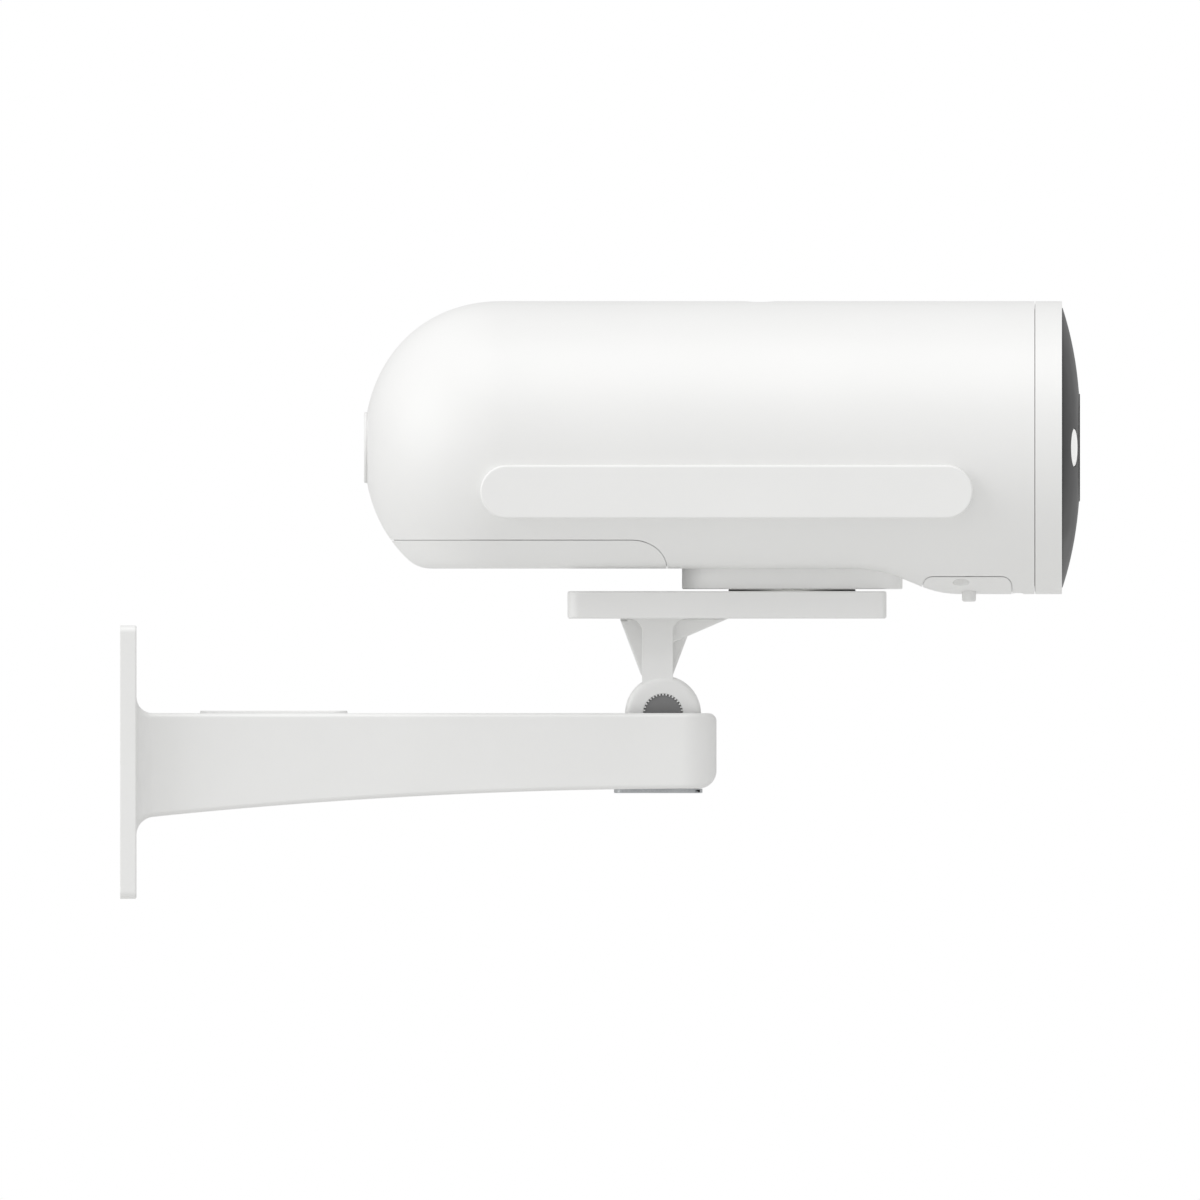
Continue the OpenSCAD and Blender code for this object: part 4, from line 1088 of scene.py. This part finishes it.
def build_screws():
    """Each group of screws as one mesh on its body."""
    for node, (sizes, facing, rows) in SCREWS.items():
        unit = screw_unit(*sizes)
        centre, turn, span = group_place(node, sizes[2], facing)
        present(repeat(node + "_set", "grid", unit, FINISH[SLOT[node]], centre, turn, span, 2, rows), node)


def build_single_screws():
    """The pan bolt and the tilt lock screw, both reached from below."""
    bolt = screw_unit(4, 12.9, 7, 4.6, False)
    over = Matrix.Rotation(math.pi, 4, "X")
    bolt.data.transform(Matrix.Translation((pan_x * MM, 0, box_mm("pan_bolt")[0].z * MM)) @ over)
    bolt.name = "pan_bolt_screw"
    present(bolt, "pan_bolt")
    low, high = box_mm("tilt_lock_screw")
    lock = screw_unit(3, high.z - low.z - 1.3, 4.2, 1.3, False)
    lock.data.transform(Matrix.Translation((tilt_x * MM, 0, low.z * MM)) @ over)
    lock.name = "tilt_lock_grub"
    present(lock, "tilt_lock_screw")


def build_cells():
    length = box_mm("battery_cells")[1].x - box_mm("battery_cells")[0].x
    r = 9.2
    profile = [(0, -length), (r - 1, -length), (r, -length + 0.8), (r, -2.4), (r - 0.8, -1.5), (4.2, -1.5),
               (3, -1.1), (3, -0.2), (2.7, 0), (0, 0)]
    unit = shade(lathe("cell_unit", profile, (0, 0), "Z", 64), 35)
    centre, turn, span = group_place("battery_cells", r, "+X")
    present(repeat("battery_cell_set", "grid", unit, FINISH["battery_wrap"], centre, turn, span, 2, 3),
            "battery_cells")


def build_teeth():
    """The ring of small clamp teeth round each pin head, standing in from the faces of the two ears."""
    face, reach = 0.05 - ear_half, 2 * ear_half - 0.1
    outline = [(0.45, -0.46), (0.45, 0.46), (0.1, 0.34), (-0.28, 0.12), (-0.28, -0.12), (0.1, -0.34)]
    pair = prism("tooth_unit", outline, -1.2, 0, "Z")
    join(pair, prism("tool", outline, -reach, 1.2 - reach, "Z"))
    made = repeat("clamp_teeth", "ring", shade(pair, 40), FINISH["white_paint"], (tilt_x, face, tilt_z),
                  (QUARTER, 0, 0), (hub_r + 0.1, 0), 36)
    present(made, "bracket")


def dress(node, width):
    """A CAD shape with its corners merged, its flats cleaned and its edges rounded."""
    made = copy_of(frame["nodes"][node], node + "_piece")
    tidy(made)
    work = bmesh.new()
    work.from_mesh(made.data)
    bmesh.ops.dissolve_limit(work, angle_limit=math.radians(0.5), verts=work.verts, edges=work.edges)
    work.to_mesh(made.data)
    work.free()
    if width:
        round_edges(made, width, 2, 50)
    return present(shade(made, 30), node)


SOFTLY = {"hinge_block": 0.5, "pan_washer": 0.2, "pan_bolt_washer": 0.1, "power_inlet": 0.3, "inlet_nut": 0.3,
          "battery_case": 0.4, "battery_contacts": 0.15, "chassis": 0.3, "main_board": 0.12,
          "heat_spreader": 0.25, "shield_cans": 0.35, "radio_module": 0.2, "sensor_board": 0.12,
          "image_sensor": 0.15, "lens_holder": 0.3, "ir_cut_filter": 0.1, "led_board": 0.12, "light_leds": 0.25,
          "port_tray": 0.25, "card_socket": 0.2, "reset_switch": 0.2, "microphone": 0.2, "antenna_right": 0.15,
          "antenna_left": 0.15, "hatch_gasket": 0.0, "bezel_gasket": 0.2, "lens_barrel": 0.2,
          "lens_elements": 0.0, "light_reflectors": 0.0}


def build_all():
    outer = outer_solid("outer_form")
    whole = shell("whole_shell", 0, wall)
    build_housing(whole)
    build_hatch(whole)
    build_door(outer)
    for side in (-1, 1):
        build_side_cover(side, outer)
        build_window(side)
    build_mount_block(outer)
    discard(outer)
    discard(whole)
    build_button()
    build_rear_cap()
    build_vent_plug()
    build_bezel()
    build_glass()
    build_lens_ring()
    build_bracket()
    build_pin("tilt_pin")
    build_pin("tilt_pin_cap")
    build_arm()
    build_wall_plate()
    build_cable_cover()
    build_lock_plate()
    build_screws()
    build_single_screws()
    build_cells()
    build_teeth()
    for node, width in SOFTLY.items():
        dress(node, width)


# ---- surroundings ------------------------------------------------------------------------------------

AMBIENT = 0.54
PICTURE_WIDTH = 0.48
FLOOR_HALF, FLOOR_Z = 3.0, -0.165
middle = (cad_low + cad_high) / 2


def floor():
    """A wide pale floor well below the wall plate."""
    mesh = bpy.data.meshes.new("studio_floor")
    corners = [(-1, -1), (1, -1), (1, 1), (-1, 1)]
    mesh.from_pydata([(x * FLOOR_HALF + middle.x, y * FLOOR_HALF, FLOOR_Z) for x, y in corners], [],
                     [(0, 1, 2, 3)])
    made = bpy.data.objects.new("studio_floor", mesh)
    bpy.context.scene.collection.objects.link(made)
    # Matt painted board, faint roller texture of about 4 mm
    material, tree, shader = start("floor_paint", IOR=1.45)
    surface(tree, shader, "#e9e9e8", "#e6e6e5", 300, 4, 0.7, 0.04, 0.02)
    mesh.materials.append(material)


def world():
    """White for the camera, a softer surround for the object."""
    made = bpy.data.worlds.new("studio")
    bpy.context.scene.world = made
    made.use_nodes = True
    tree = made.node_tree
    tree.nodes.clear()
    seen = add(tree, "ShaderNodeBackground", {"Color": (1, 1, 1, 1), "Strength": 1.0})
    lit = add(tree, "ShaderNodeBackground", {"Color": (1, 1, 1, 1), "Strength": AMBIENT})
    path = add(tree, "ShaderNodeLightPath")
    mixed = add(tree, "ShaderNodeMixShader", {0: path.outputs["Is Camera Ray"]})
    tree.links.new(lit.outputs[0], mixed.inputs[1])
    tree.links.new(seen.outputs[0], mixed.inputs[2])
    add(tree, "ShaderNodeOutputWorld", {"Surface": mixed.outputs[0]})


def sun(name, strength, up, round_from_front):
    """A broad soft light, placed by its height and its turn from the viewer's side, in degrees."""
    light = bpy.data.lights.new(name, "SUN")
    light.energy = strength
    light.angle = math.radians(50)
    up, turn = math.radians(up), math.radians(round_from_front)
    towards = (math.cos(up) * math.sin(turn), -math.cos(up) * math.cos(turn), math.sin(up))
    made = bpy.data.objects.new(name, light)
    made.rotation_euler = Vector(towards).to_track_quat("Z", "Y").to_euler()
    bpy.context.scene.collection.objects.link(made)


def camera():
    lens = bpy.data.cameras.new("camera")
    lens.type = "ORTHO"
    lens.ortho_scale = PICTURE_WIDTH
    made = bpy.data.objects.new("camera", lens)
    made.location = middle + Vector((0, -2, 0))
    made.rotation_euler = (math.pi / 2, 0, 0)
    bpy.context.scene.collection.objects.link(made)
    bpy.context.scene.camera = made


build_all()
floor()
world()
sun("key", 1.2, 65, 0)
sun("fill", 0.9, 15, -70)
camera()
bpy.context.scene.view_settings.view_transform = "Standard"
